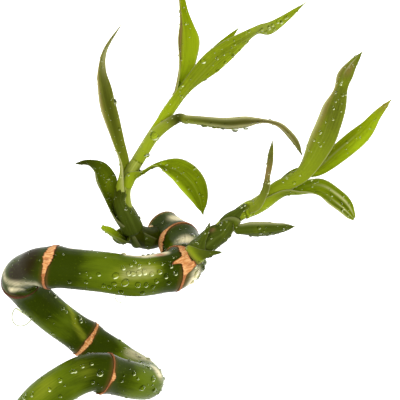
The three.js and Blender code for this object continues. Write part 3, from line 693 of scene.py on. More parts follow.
def ring_band(name):
    """A ragged band round a node: rows round the cane, columns over the band's outside from edge to
    edge and back along its inside. Its half width is the ring's own times one plus each patch's share
    and a wobble, and both edges curl off the skin by the fourth power of the way to them."""
    _, half, _, patches = RINGS[name]
    seed = list(RINGS).index(name)
    angle = turn(RING_SIDES)
    place = np.full(RING_SIDES, ring_places[name])
    _, out, _ = cane_point(place, angle)
    wide = np.ones((2, RING_SIDES))
    for direction, amount, narrow, edge in patches:
        facing = np.clip(out @ unit(np.array(direction, float)), 0, 1)
        facing = facing / facing.max()
        wide[0] += amount * facing**narrow * (edge >= 0)
        wide[1] += amount * facing**narrow * (edge <= 0)
    teeth = np.stack([ripple(angle, 10 * seed + side, TEETH, TOOTH_HEIGHT) for side in (0, 1)])
    reach = half * wide * np.clip(1 + teeth, *TORN_WIDTH)
    wide = wide.mean(0)[:, None]
    across = np.linspace(-1, 1, RING_COLUMNS)
    v = np.concatenate([across, across[::-1]])[None, :]
    inside = np.repeat([0.0, 1.0], RING_COLUMNS)[None, :]
    distance = place[:, None] + np.where(v > 0, reach[0][:, None], reach[1][:, None]) * v
    curl = (CURL + CURL_BY_BREADTH * np.minimum(wide, BROADEST)) * v**4
    crinkle = CRINKLE_HEIGHT * ripple(angle[:, None] + 0.7 * v, 90 + seed, CRINKLES)
    lift = np.maximum(PAPER_LIFT + curl + crinkle, LOWEST_LIFT) - PAPER * inside
    around = np.broadcast_to(angle[:, None], distance.shape)
    points, _, _ = cane_point(distance, around, lift)
    points[..., 2] = np.clip(points[..., 2], CLEAR_OF_TABLE, CAD_TOP)
    return points, {
        "straight": unrolled(PATTERN_RADIUS, around, distance),
        "marks": side_by_side(np.abs(v), half * wide),
    }


def ring_material(name, pale, strong, stain, rim):
    """Dry papery scar: pale with strong fibres that run along the cane, stains and dark edges."""
    nodes = new_material(name)
    straight = nodes.attribute("straight")
    to_edge, breadth, *_ = nodes.masks("marks")
    fibres = nodes.noise(straight, (2.4, 2.4, 0.5), 4.0, 0.65)
    stains = nodes.noise(straight, (0.35, 0.35, 0.35), 2.0)
    colour = nodes.mix(nodes.between(fibres, 0.4, 0.62), strong, pale)
    colour = nodes.mix(nodes.between(stains, 0.5, 0.75), colour, stain)
    edge = nodes.plus(to_edge, nodes.times(fibres, 0.25))
    colour = nodes.mix(nodes.between(edge, 0.92, 1.12), colour, rim)
    narrow = nodes.between(breadth, 0.8, 0.4)
    return nodes.finish(nodes.add("ShaderNodeBsdfPrincipled", {
        "Base Color": nodes.mix(nodes.times(narrow, 0.8), colour, stain),
        "Roughness": 0.75,
        "Normal": nodes.bump(fibres, 0.0004, 0.8),
        "Specular IOR Level": 0.3,
    }))


# Stems

STEM_SIDES = 40
STEM_STEP = 0.9
STEM_ROUND = 1.2
# The ribs of a stem: how many, how high, and their turn to the millimetre. Then the distances between
# which the leaf bases set in, and the shares of the stem between which its dark base ends
STEM_RIBS = 11
STEM_RIB_HEIGHT = 0.05
STEM_RIB_TURN = 0.1
STEM_SKINS = (4, 12)
STEM_BASE = (0.42, 0.18)


def stem_skin(name, settings):
    """A stem's skin: a circle of the stem's radius plus its outer skins, carried along the route,
    drawn in to a point at both ends by a square root, with low ribs that run along it."""
    route = stem_routes[name]
    distance = np.linspace(0, route.length, int(route.length / STEM_STEP))
    distance, angle = np.meshgrid(distance, turn(STEM_SIDES), indexing="ij")
    row = route.at(route.share(distance))
    end = np.minimum(distance, route.length - distance)
    close = np.sqrt(np.clip(end / STEM_ROUND, 0, 1))
    radius = (row[..., 3] + settings.stem_skins / MM * smoothstep(distance, *STEM_SKINS)) * close
    ribs = np.cos(STEM_RIBS * angle + STEM_RIB_TURN * distance)
    radius = radius + STEM_RIB_HEIGHT * close * ribs
    points = row[..., :3] + spoke(angle, *route.sides(distance)) * radius[..., None]
    base = smoothstep(distance / route.length, *STEM_BASE)
    return points, {"straight": unrolled(radius, angle, distance), "marks": side_by_side(base)}


def stem_material(settings):
    """Wet yellow-green skin with fine pale streaks, dark green where the shoot leaves the cane."""
    nodes = new_material("shoot_stem_skin")
    straight = nodes.attribute("straight")
    base, *_ = nodes.masks("marks")
    streaks = nodes.noise(straight, (2.2, 2.2, 0.06), 4.0)
    bands = nodes.noise(straight, (0.35, 0.35, 0.02), 2.0)
    colour = nodes.mix(nodes.between(streaks, 0.4, 0.9), settings.stem, settings.stem_pale)
    colour = nodes.mix(nodes.between(bands, 0.4, 0.65), colour, settings.stem_green)
    skin = nodes.add("ShaderNodeBsdfPrincipled", {
        "Base Color": nodes.mix(base, colour, settings.dark),
        "Roughness": 0.3,
        "Normal": nodes.bump(streaks, 0.0002, 0.4),
        "IOR": 1.12,
    })
    glow = nodes.add("ShaderNodeBsdfTranslucent", {"Color": settings.bright_glow})
    return nodes.finish(nodes.blend(0.2, skin, glow))


# Leaves

LEAF_ROWS_PER_STATION = 12
LEAF_COLUMNS = 24
# Places along a leaf, from 0 at its base to 1 at its tip, between which something sets in or fades:
# the fold along the midrib, the waves of the margins, the torn end, the point of the tip, the midrib
# and the thickness at the base's and the tip's edge
FOLD = (0.2, 0.6)
WAVY = (0.25, 0.5)
TORN = (0.4, 1.0)
POINT = (1.0, 0.94)
MIDRIB = (1.0, 0.6)
BASE_EDGE = (0.0, 0.08)
TIP_EDGE = (1.0, 0.985)
# How much narrower the point is, the half width under which a leaf has one, how much thinner the
# margins are, the share of the half width that the midrib takes, and how deep it lies in the upper
# face and stands out of the one under it
POINT_NARROWS = 0.6
POINTED = 1.0
MARGIN_THINS = 0.55
MIDRIB_REACH = 0.09
MIDRIB_DEPTH = 0.1
MIDRIB_HEIGHT = 0.2
# The waves of the torn end and of the margins, and how much the half width wobbles
TORN_WAVES = [3, 7, 12, 19]
MARGIN_WAVES = [2, 3, 5]
WOBBLE = 0.02
# A leaf's base: the angle that it wraps to either side of its stem, how far it stands off the stem at
# its two stations, and how much farther over each base under it
SHEATH_WRAP = 105
SHEATH_CLEARANCES = (0.12, 0.45)
SHEATH_STEP = 0.45
# The under face of a leaf is the upper one's colour times a share, plus a touch of grey
UNDER_SHARE = 0.85
UNDER_GREY = 0.008


def blade_sides(heading, roll):
    """Across to the right margin and up from the face. They are level and face-up at roll 0, and turn
    about the heading by the roll."""
    level = unit(np.cross(heading, UP))
    face = np.cross(level, heading)
    return spoke(roll, level, face), spoke(roll, face, -level)


def leaf_route(name):
    """The leaf's rows of numbers: two where it hugs its stem, its midrib on the stem's skin and its
    curl the wrap about it, and then the blade's own."""
    leaf = LEAVES[name]
    route = stem_routes[name.split("_")[0] + "_stem"]
    stations = []
    for share, clearance in zip(leaf.clasp, SHEATH_CLEARANCES):
        x, y, z, radius = route.at(share)
        reach = radius + clearance + SHEATH_STEP * leaf.layer
        _, up = blade_sides(route.heading(share), np.radians(leaf.side))
        midrib = np.array([x, y, z]) - up * reach
        stations.append((*midrib, np.radians(SHEATH_WRAP) * reach, leaf.side, SHEATH_WRAP))
    return Route(stations + leaf.blade)


def there_and_back(numbers):
    """The numbers of the upper face, then the same under it from margin to margin the other way."""
    return np.concatenate([numbers, numbers[:, ::-1]], 1)


def leaf_shell(name, settings):
    """A leaf: rows along its midrib, columns over its upper face from margin to margin and back under
    it. A section is part arc, part fold along the midrib. The margins wave, the tip draws in to a
    point, a ragged end is cut short by a wobble, and the thickness falls from midrib to margin."""
    seed = 200 + list(LEAVES).index(name)
    route = leaf_route(name)
    count = LEAF_ROWS_PER_STATION * (len(route.rows) - 1)
    t = np.linspace(0, 1, count)[:, None]
    v = np.linspace(-1, 1, LEAF_COLUMNS)[None, :]
    torn = 0.5 + 0.5 * np.clip(ripple(np.pi * v, seed, TORN_WAVES), -1, 1)
    share = t * (1 - LEAVES[name].ragged * torn * smoothstep(t, *TORN))
    share, v = np.broadcast_arrays(share, v)
    row = route.at(share)
    across, up = blade_sides(route.heading(share), np.radians(row[..., 4]))
    curl = np.radians(row[..., 5])
    fold = smoothstep(share, *FOLD) / 2
    level = (1 - fold) * np.sin(curl * v) / curl + fold * v * np.cos(curl / 2)
    rise = (1 - fold) * (1 - np.cos(curl * v)) / curl + fold * np.abs(v) * np.sin(curl / 2)
    blade = smoothstep(share, *WAVY)
    along = 2 * np.pi * share + 0.5 * np.sign(v)
    waves = ripple(along, seed + 50, MARGIN_WAVES, settings.wave / MM)
    point = smoothstep(share, *POINT) if row[-1, 0, 3] < POINTED else 1.0
    narrow = 1 - POINT_NARROWS + POINT_NARROWS * point
    half = row[..., 3] * narrow * (1 + WOBBLE * blade * np.sin(19 * share + 3 * v))
    half = half[..., None]
    middle = row[..., :3] + half * (across * level[..., None] + up * rise[..., None])
    middle = middle + up * (blade * waves * v**2)[..., None]
    normal = unit(np.cross(np.gradient(middle, axis=1), np.gradient(middle, axis=0)))
    ends = smoothstep(share / share.max(axis=0), *BASE_EDGE) * smoothstep(t, *TIP_EDGE)
    thick = settings.thickness / MM * (1 - MARGIN_THINS * v**4) * ends
    rib = bell(v, 0, MIDRIB_REACH) * ends * smoothstep(share, *MIDRIB)
    top = middle + normal * (thick / 2 - MIDRIB_DEPTH * rib)[..., None]
    under = middle - normal * (thick / 2 + MIDRIB_HEIGHT * rib)[..., None]
    face = np.repeat([1.0, -1.0], LEAF_COLUMNS)
    straight = side_by_side(there_and_back(v), there_and_back(share) * route.length, face)
    values = {"straight": straight, "marks": there_and_back(leaf_marks(name, share, v))}
    return np.concatenate([top, under[:, ::-1]], 1), values, (top, under, normal)


# The pale line of every margin, from where it sets in, fainter on the dark leaves, and the stations
# between which the yellow of a leaf's base fades, with its strength
MARGIN_LINE = (0.9, 1.0)
FAINT_MARGIN = 0.2
PALE_MARGIN = 0.5
YELLOW_BASE = (2.4, 0.9)
BASE_STRENGTH = 0.6
# Marks on the leaves: kind, place along the leaf and across it, reach along and across, strength.
# The last kind of mark is painted shade.
YELLOW, BROWN, PALE, LEAF_SHADE = range(4)
LEAF_MARKS = {
    "left_leaf_top": [
        (YELLOW, 0.35, 0.6, 0.3, 0.8, 0.6), (BROWN, 0.55, -0.55, 0.45, 0.32, 1.0),
        (LEAF_SHADE, 0.5, -0.3, 0.3, 0.08, 0.5), (LEAF_SHADE, 0.45, -0.6, 0.3, 0.25, 0.4),
        (PALE, 0.6, -0.95, 0.4, 0.12, 0.6),
    ],
    "left_leaf_long": [(PALE, 0.72, 0, 0.1, 2, 0.12), (LEAF_SHADE, 0.5, 0.1, 0.2, 0.3, 0.2)],
    "left_leaf_level": [
        (LEAF_SHADE, 0.22, 0, 0.04, 2, 0.9), (YELLOW, 0.32, -0.6, 0.09, 0.8, 0.6),
        (YELLOW, 0.6, -1, 0.4, 0.4, 0.5), (LEAF_SHADE, 0.55, 0.45, 0.22, 0.3, 0.65),
        (PALE, 0.6, 1, 0.4, 0.25, 0.7), (PALE, 0.62, 0, 0.3, 0.2, 0.6),
        (BROWN, 0.75, 0.3, 0.2, 1, 0.4),
    ],
    "left_leaf_drooping": [(YELLOW, 0.6, 0.95, 0.4, 0.25, 0.9), (YELLOW, 0.45, -0.5, 0.05, 0.2, 0.7)],
    "left_leaf_tall": [
        (BROWN, 0.7, -0.75, 0.3, 0.35, 0.7), (YELLOW, 0.1, 0, 0.24, 2, 0.6),
        (LEAF_SHADE, 0.5, 0.3, 0.28, 0.45, 0.55), (PALE, 0.5, -1, 0.4, 0.3, 0.8),
        (PALE, 0.85, 0.6, 0.12, 0.5, 0.5),
    ],
    "left_leaf_dark": [
        (PALE, 0.5, -0.9, 0.4, 0.1, 0.5), (LEAF_SHADE, 0.95, 0, 0.15, 2, 0.9),
        (YELLOW, 0.5, 0.2, 0.2, 0.4, 0.15),
    ],
    "left_bract_front": [
        (BROWN, 1.0, 0, 0.05, 2, 0.5), (LEAF_SHADE, 0.85, 0.3, 0.25, 0.6, 0.7),
        (PALE, 0.5, -0.5, 0.3, 0.04, 0.4),
    ],
    "left_bract_cupped": [(YELLOW, 0.9, 0.2, 0.25, 2, 0.9)],
    "right_leaf_upper": [
        (YELLOW, 0.6, 0.6, 0.5, 0.6, 1.0), (LEAF_SHADE, 0.35, -0.6, 0.28, 0.5, 0.5),
        (BROWN, 0.95, 0, 0.06, 2, 0.5), (PALE, 0.4, -0.35, 0.2, 0.06, 0.4),
    ],
    "right_leaf_tall": [
        (YELLOW, 0.15, 0, 0.18, 2, 0.5), (PALE, 0.55, 0.95, 0.35, 0.2, 0.7),
        (BROWN, 0.6, 0.65, 0.35, 0.3, 0.5), (BROWN, 0.6, 0, 0.35, 2, 0.1),
        (BROWN, 0.83, -0.2, 0.08, 0.5, 0.55), (PALE, 0.88, 0.1, 0.08, 0.1, 0.6),
        (LEAF_SHADE, 0.55, -0.2, 0.35, 0.7, 0.2),
    ],
    "right_leaf_drooping": [
        (YELLOW, 0.35, 0.3, 0.1, 0.6, 0.4), (PALE, 0.8, -0.5, 0.2, 0.09, 0.8),
        (PALE, 0.86, 0.15, 0.13, 0.07, 0.8), (PALE, 0.7, 0.95, 0.3, 0.15, 0.7),
        (LEAF_SHADE, 0.84, -0.2, 0.14, 0.16, 0.6), (LEAF_SHADE, 0.82, 0.5, 0.16, 0.18, 0.5),
    ],
    "right_leaf_slender": [(BROWN, 0.72, 0, 0.1, 2, 0.6), (YELLOW, 0.3, 0, 0.2, 2, 0.3)],
    "right_leaf_level": [(YELLOW, 0.24, 0, 0.08, 2, 0.14), (PALE, 0.6, 0.9, 0.4, 0.15, 0.5)],
    "right_bract_round": [(BROWN, 0.3, 0.5, 0.06, 0.12, 1.0), (PALE, 0.9, -0.95, 0.2, 0.1, 0.5)],
    "right_bract_lower": [(YELLOW, 0.3, 0, 0.14, 2, 0.6), (BROWN, 0.2, 0, 0.1, 2, 0.5)],
}


def leaf_marks(name, share, v):
    """Masks at every point of a leaf for yellow, brown and pale patches and painted shade: each is the
    strongest of its marks' bells along and across the leaf. Every margin has a thin pale line, and the
    base of all but the dark leaves is yellow."""
    masks = np.zeros((*share.shape, 4))
    leaf = LEAVES[name]
    margin = smoothstep(np.abs(v), *MARGIN_LINE)
    masks[..., PALE] = (FAINT_MARGIN if leaf.tint == "dark" else PALE_MARGIN) * margin
    if leaf.tint != "dark":
        stations = share * (len(leaf.blade) + 1)
        masks[..., YELLOW] = BASE_STRENGTH * smoothstep(stations, *YELLOW_BASE)
    for kind, along, across, reach_along, reach_across, strength in LEAF_MARKS.get(name, []):
        patch = strength * bell(share, along, reach_along) * bell(v, across, reach_across)
        masks[..., kind] = np.maximum(masks[..., kind], patch)
    return masks


def leaf_material(tint, face, glow, settings):
    """Leaf of one tint: parallel veins and streaks that run to the tip, over a soft mottle, with yellow,
    brown and pale patches and painted shade by the mesh's marks. Part of the light passes through."""
    nodes = new_material(f"leaf_{tint}")
    straight = nodes.attribute("straight")
    v, _, side = nodes.apart(straight)
    streaks = nodes.noise(straight, (9.0, 0.035, 1.0), 4.0, 0.6)
    veins = nodes.math("SINE", nodes.plus(nodes.times(v, 58.0), nodes.times(streaks, 3.0)))
    rib = nodes.between(nodes.math("ABSOLUTE", v), 0.07, 0.0)
    where = nodes.add("ShaderNodeTexCoord", {}, "Object")
    mottle = nodes.noise(where, (140.0, 140.0, 140.0))
    under = [UNDER_SHARE * part + UNDER_GREY for part in face]
    base = nodes.mix(nodes.between(side, -0.5, 0.5), under, face)
    shaded = nodes.mix(0.55, base, settings.dark)
    colour = nodes.mix(nodes.between(streaks, 0.7, 0.3), base, shaded)
    colour = nodes.mix(nodes.times(nodes.between(mottle, 0.5, 0.8), 0.3), colour, glow)
    rib_strength = 0.05 if tint == "dark" else 0.12
    colour = nodes.mix(nodes.times(rib, rib_strength), colour, settings.stem_pale)
    see_through = glow
    # The last mask paints shade in the dark colour
    tones = (settings.yellow, settings.brown, settings.pale, settings.dark)
    for mask, tone in zip(nodes.masks("marks"), tones):
        colour = nodes.mix(mask, colour, tone)
        see_through = nodes.mix(mask, see_through, tone)
    normal = nodes.bump(nodes.plus(nodes.times(veins, 0.25), streaks), 0.00012, 0.5)
    skin = nodes.add("ShaderNodeBsdfPrincipled", {
        "Base Color": colour, "Roughness": settings.roughness, "Normal": normal, "IOR": 1.1,
    })
    through = nodes.add("ShaderNodeBsdfTranslucent", {"Color": see_through, "Normal": normal})
    return nodes.finish(nodes.blend(settings.see_through, skin, through))


# Water and buds

# Rows from the rim to the crown of a drop, and sides about it
SMALL_DROP = (4, 9)
BIG_DROP = (7, 16)
LARGE_DROP = (18, 40)
# The foot of a drop, as shares of its height and radius, and how much longer than wide drops are
FOOT_HEIGHT = -0.12
FOOT_RADIUS = 0.95
DROP_LENGTHS = (1.0, 1.25)
# The way to the bright side of a drop. A painted highlight crescent, standing for the light that the
# drop gathers, sets in between two shares of that way and ends just inside the rim. A painted dark rim
# of shade sets in between two shares of the radius, and fades towards the bright side down to its
# least strength.
BRIGHT_SIDE = np.array([0.35, -0.94, 0.0])
CRESCENT = (0.45, 0.75)
CRESCENT_EDGE = (1.0, 0.9)
DARK_SIDE = (0.5, -0.3)
DARK_EDGE = (0.6, 0.95)
LEAST_DARK = 0.35
# Heights of a bud and of its socket, as shares of their radii
BUD_PLUMPNESS = 0.9
SOCKET_PLUMPNESS = 0.35
# How much water bends light, and the painted dark outline of a drop: where it starts and where it is
# full, as a share of the way from facing the eye to edge-on, and its strength
WATER_BENDS = 1.33
THIN_WATER_BENDS = 1.02
OUTLINE = (0.75, 0.97, 0.5)
THIN_OUTLINE = (0.3, 0.7, 1.0)


def domes(places, outs, radii, heights, fineness, seed):
    """Many drops or buds at once. Each is a flattened dome: rows from the rim to the crown, with radius
    the cosine and height the sine of the row's angle, stretched a little along a drawn direction and
    closed by a foot that dips into the surface. Also masks: a painted highlight crescent and painted
    shade on the rim's dark side."""
    draw = np.random.default_rng(seed)
    rise = np.linspace(0, np.pi / 2, fineness[0])
    ring = np.concatenate([[0.0, FOOT_RADIUS], np.cos(rise)])
    level = np.concatenate([[FOOT_HEIGHT, FOOT_HEIGHT], np.sin(rise)])
    angle = turn(fineness[1])
    any_side = unit(draw.normal(size=(len(places), 3)))
    first = unit(any_side - dot(any_side, outs) * outs)
    second = np.cross(outs, first)
    long = draw.uniform(*DROP_LENGTHS, len(places))
    sideways = (
        long[:, None, None, None] * (ring[:, None] * np.cos(angle))[..., None] * first[:, None, None]
        + (ring[:, None] * np.sin(angle))[..., None] * second[:, None, None]
    )
    upwards = np.broadcast_to(level[:, None, None], (*sideways.shape[1:3], 1)) * outs[:, None, None]
    radii, heights = radii[:, None, None, None], heights[:, None, None, None]
    points = places[:, None, None] + radii * sideways + heights * upwards
    bright = sideways @ BRIGHT_SIDE
    rim = np.broadcast_to(ring[:, None], bright.shape)
    crescent = smoothstep(bright, *CRESCENT) * smoothstep(rim, *CRESCENT_EDGE)
    dark = LEAST_DARK + (1 - LEAST_DARK) * smoothstep(bright, *DARK_SIDE)
    return points, side_by_side(crescent, dark * smoothstep(rim, *DARK_EDGE))


def dome_piece(name, drops, fineness, material, slot, seed):
    """All the domes of one kind as one mesh, each a closed grid of its own. Drops are their places,
    the ways out there, their radii and their heights."""
    points, marks = domes(*drops, fineness, seed)
    points[..., 2] = np.clip(points[..., 2], CLEAR_OF_TABLE, CAD_TOP)
    rows_each, sides = points.shape[1:3]
    points = points.reshape(-1, sides, 3)
    return make_piece(name, points, {"marks": marks}, material, slot, rows_each=rows_each)


def water_material(name, settings, bends, shading, outline):
    """Clear water with a painted highlight crescent where it would gather the light, painted shade on
    the rim's other side and a painted dark outline. Lamp light passes straight through it, so that the
    skin under it stays lit."""
    nodes = new_material(name)
    crescent, dark, *_ = nodes.masks("marks")
    starts, full, strength = outline
    turned = nodes.add("ShaderNodeLayerWeight", {"Blend": 0.5}, "Facing")
    # The outline and the rim's dark side are painted shade
    edge = nodes.times(nodes.between(turned, starts, full), strength)
    edge = nodes.math("MAXIMUM", nodes.times(dark, shading), edge)
    water = nodes.add("ShaderNodeBsdfPrincipled", {
        "Base Color": nodes.mix(edge, (1.0, 1.0, 1.0), settings.rim),
        "Roughness": 0.0,
        "IOR": bends,
        "Transmission Weight": 1.0,
    })
    # The crescent is a painted highlight: a white diffuse patch on the drop
    bright = nodes.add("ShaderNodeBsdfDiffuse", {"Color": settings.crescent})
    drop = nodes.blend(nodes.times(crescent, 0.85 * shading), water, bright)
    clear = nodes.add("ShaderNodeBsdfTransparent", {})
    shadow = nodes.add("ShaderNodeLightPath", {}, "Is Shadow Ray")
    return nodes.finish(nodes.blend(shadow, drop, clear))


def bud_material(name, colour, dark):
    """Smooth skin with soft mottles between two colours."""
    nodes = new_material(name)
    where = nodes.add("ShaderNodeTexCoord", {}, "Object")
    mottle = nodes.noise(where, (900.0, 900.0, 900.0))
    shade = nodes.mix(nodes.between(mottle, 0.35, 0.65), dark, colour)
    return nodes.finish(nodes.add("ShaderNodeBsdfPrincipled", {"Base Color": shade, "Roughness": 0.4}))


# Resting buds: the line of sight that meets them, and the radii of the bud and its socket
BUDS = [(-21.6, -12.4, 1.3, 2.1)]

# Bigger drops, as the camera sees them on the piece that carries them: x and y of the line of sight
# on the plane at the middle height, and the radius
MIDDLE_HEIGHT = 28.8
BIG_DROPS = {
    "cane": [
        (-31.4, -34.8, 1.5), (-30, -30.6, 1.1), (-35.4, -31.8, 1.3), (-28.2, -30.8, 1.1),
        (-26, -30.8, 1.1), (-23, -30.4, 1.2), (-32.4, -28.6, 0.9), (-40.5, -36, 0.9), (-46, -32, 0.7),
        (-20, -31, 1.0), (-17, -30.3, 1.1), (-14, -31.8, 1.0), (-18, -34, 1.0), (-26.5, -35.6, 1.3),
        (-22.5, -35.8, 1.0), (-12, -28, 0.9), (-36.5, -35, 1.0), (-42.5, -31, 0.8),
        (-47.5, -34.5, 0.8), (-13, -35, 0.9), (-21.5, -26.5, 0.7), (-27, -26, 0.7), (-16, -27, 0.7),
        (-33, -38.6, 1.2), (-24, -39, 1.1), (-20, -36.5, 0.9), (-42, -72.5, 1.4), (-49, -70, 0.9),
        (-54, -72, 0.9), (-46, -68.8, 0.8), (-59, -76, 1.0), (-45.5, -76.5, 1.0), (-63, -79.5, 0.8),
        (-24, -79, 1.3), (-28, -73, 0.9), (-33, -76, 0.8), (-20, -75, 1.2), (-19, -80, 1.0),
        (-21.5, -70.5, 0.9), (-1.5, -31, 1.4), (1, -28.5, 1.5), (-3.5, -34.5, 1.1), (0, -33, 1.1),
        (2.6, -26.4, 1.2), (-2.4, -28, 1.1), (-50, -51, 0.9), (-56, -47, 0.7), (-38, -36.5, 0.9),
    ],
    "left_stem": [(-19.3, 26.8, 2.0), (-30.3, 10.3, 0.9), (-23, 18.5, 0.7)],
    "left_leaf_drooping": [(-26.3, 12.4, 1.4), (3.5, 20, 0.6), (-4, 19.5, 0.5)],
    "right_stem": [(20.9, -6.3, 1.1), (35, 2, 0.6)],
    "right_leaf_level": [(24.8, -11.5, 0.8), (29.8, -13.8, 0.8), (21.4, -15.2, 0.7)],
    "left_leaf_long": [
        (1.5, 58.6, 1.1), (7.1, 54, 0.9), (10.5, 57.7, 0.7), (2.5, 50, 0.8), (20.4, 65.7, 0.9),
        (17, 62.7, 0.7), (29, 72.2, 0.9), (32.8, 74.8, 0.8), (26, 71.4, 0.9), (35.7, 76.4, 0.7),
        (27.6, 70.6, 0.7), (30.4, 73.3, 0.7), (34.4, 74.4, 0.7), (31.2, 71.6, 0.8), (37, 77, 0.6),
        (14, 60.4, 0.7), (-7.3, 48, 0.8), (-7.9, 43.3, 0.7),
    ],
    "right_leaf_tall": [(57.5, 49.5, 0.8), (50.5, 28.5, 0.7), (44.5, 22, 0.7)],
    "right_leaf_slender": [(28.8, 7.6, 0.9)],
    "right_leaf_drooping": [(55, 2, 0.7), (60, -3.5, 0.8), (46.5, 9.3, 0.9)],
}

# Drops that hang at the plant's outline: a place, the way they hang, their radius and height
THIN_DROPS = [
    ((-76.2, -49.3, 18), (-0.58, -0.81, 0), 3.9, 5.4), ((-32, -38.4, 49), (0.05, -1, 0), 2.1, 2.9),
]
HANGING_DROPS = [
    ((2, 31, 36.5), (0.1, -1, 0), 1.6, 1.1),
    ((6, 30.1, 37), (0, -1, 0), 1.0, 0.7),
    ((9.5, 29.6, 37), (0, -1, 0), 0.9, 0.7),
    ((14.5, 29.2, 36), (0, -1, 0), 1.5, 1.2),
    ((19, 29.8, 35.5), (0, -1, 0), 1.2, 0.9),
    ((-35.3, 40.5, 36), (1, 0.2, 0), 1.3, 1.0),
    ((-22, 18.6, 34), (0.5, -0.7, 0.3), 1.2, 1.1),
    ((-19.8, 13.8, 35), (0.2, -0.95, 0.1), 1.1, 1.2),
]


# What the camera sees: the least share of the way out of a point that is upwards, the gap that hides
# the other points, and how much nearer a millimetre of height brings a point
FACES_UP = 0.15
HIDDEN = 1000.0
NEARER = 0.02


def seen_at(points, outs, x, y):
    """The grid points that the camera sees nearest to each line of sight, with the ways out there."""
    height = bpy.context.scene.bamboo_stage.camera_height / MM
    reach = (height - MIDDLE_HEIGHT) / (height - points[..., 2])
    across, along = points[..., 0] * reach, points[..., 1] * reach
    hidden = np.where(outs[..., 2] > FACES_UP, 0.0, HIDDEN) - NEARER * points[..., 2]
    gaps = (np.hypot(across - each_x, along - each_y) + hidden for each_x, each_y in zip(x, y))
    rows, columns = np.array([np.unravel_index(np.argmin(gap), gap.shape) for gap in gaps]).T
    return points[rows, columns], outs[rows, columns]


def drop_radii(draw, count, smallest, largest):
    """Drawn radii, most of them small: smallest plus the rest times the cube of a draw."""
    return (smallest + (largest - smallest) * draw.random(count) ** 3) / MM


# The stretch of the cane that carries drops, its wettest places, each with how far it reaches, and
# how far the drops keep from the rings
WET_LENGTH = (4.0, cane_route.length - 3)
WET_PLACES = [(400, 9), (226, 16)]
RING_CLEARANCE = 2.2
# Places drawn for each drop on the cane, the height that it keeps over the table, how likely it is
# away from the wet places and on the under side, and between which ways out the upper side sets in
DRAWS_PER_DROP = 4
LOWEST_PLACE = 2
LIKELY_DRY = 0.3
LIKELY_UNDER = 0.3
UPPER_SIDE = (-0.6, 0.4)
# The skin of the cane on which drops are looked for: row spacing and sides
SEARCH_STEP = 0.7
SEARCH_SIDES = 120
# The stations of a leaf that carries the full number of drops, and its largest drop's share
LONG_LEAF_STATIONS = 6
LEAF_DROP_SHARE = 0.7


def drops_on_cane(settings):
    """Drops on the cane: drawn places along it and about it, more of them on its upper side and on
    its wettest stretches, none on a ring or so high that they would stand out over the solid."""
    draw = np.random.default_rng(seed=7)
    distance = draw.uniform(*WET_LENGTH, DRAWS_PER_DROP * settings.on_cane)
    angle = draw.uniform(0, 2 * np.pi, len(distance))
    skin, out, _ = cane_point(distance, angle)
    radii = drop_radii(draw, len(distance), settings.smallest, settings.largest)
    to_ring = np.min([np.abs(distance - place) for place in ring_places.values()], axis=0)
    wet = np.max([bell(distance, place, reach) for place, reach in WET_PLACES], axis=0)
    upper = LIKELY_UNDER + (1 - LIKELY_UNDER) * smoothstep(out[:, 2], *UPPER_SIDE)
    likely = draw.random(len(distance)) < (LIKELY_DRY + wet) * upper
    low_enough = skin[:, 2] + radii < CAD_TOP
    free = (to_ring > RING_CLEARANCE) & (skin[:, 2] > LOWEST_PLACE) & low_enough
    chosen = np.nonzero(likely & free)[0][: settings.on_cane]
    radii = radii[chosen]
    return skin[chosen], out[chosen], radii, settings.plumpness * radii


def drops_on_leaf(shell, count, draw, settings):
    """Drops on a leaf: drawn points of the grid, off its ends and margins, on its upper or its under
    side."""
    top, under, normal = shell
    rows = draw.integers(2, top.shape[0] - 3, count)
    columns = draw.integers(1, top.shape[1] - 1, count)
    upper = draw.random(count)[:, None] < 0.5
    places = np.where(upper, top[rows, columns], under[rows, columns])
    outs = np.where(upper, normal[rows, columns], -normal[rows, columns])
    radii = drop_radii(draw, count, settings.smallest, LEAF_DROP_SHARE * settings.largest)
    return places, outs, radii, settings.plumpness * radii


def hanging(table):
    """A table of hanging drops as columns."""
    places, outs, radii, heights = (np.array(column, float) for column in zip(*table))
    return places, unit(outs), radii, heights


def joined(drops):
    """Several sets of drops as one."""
    return [np.concatenate(columns) for columns in zip(*drops)]


def skin_of(name):
    """The outer grid of a piece and the ways out of it, for drops to sit on. The pointed ends of a
    stem are left out."""
    settings = bpy.context.scene.bamboo_shoots
    if name == "cane":
        distance = np.arange(*WET_LENGTH, SEARCH_STEP)
        return cane_point(*np.meshgrid(distance, turn(SEARCH_SIDES), indexing="ij"))[:2]
    if name in STEMS:
        points, _ = stem_skin(name, settings)
        route = stem_routes[name]
        distance = np.linspace(0, route.length, len(points))
        centre = route.at(route.share(distance))[:, None, :3]
        return points[1:-1], unit((points - centre)[1:-1])
    top, under, normal = leaf_shell(name, settings)[2]
    return np.concatenate([top, under], 1), np.concatenate([normal, -normal], 1)


# Settings

def colour_setting(name, description, default):
    """A colour that the user can change."""
    return FloatVectorProperty(
        name=name, description=description, default=default, subtype="COLOR", min=0, max=1)


def length_setting(name, description, default):
    """A length in metres that the user can change."""
    return FloatProperty(name=name, description=description, default=default, unit="LENGTH")


def share_setting(name, description, default):
    """A share from 0 to 1 that the user can change."""
    return FloatProperty(
        name=name, description=description, default=default, subtype="FACTOR", min=0, max=1)


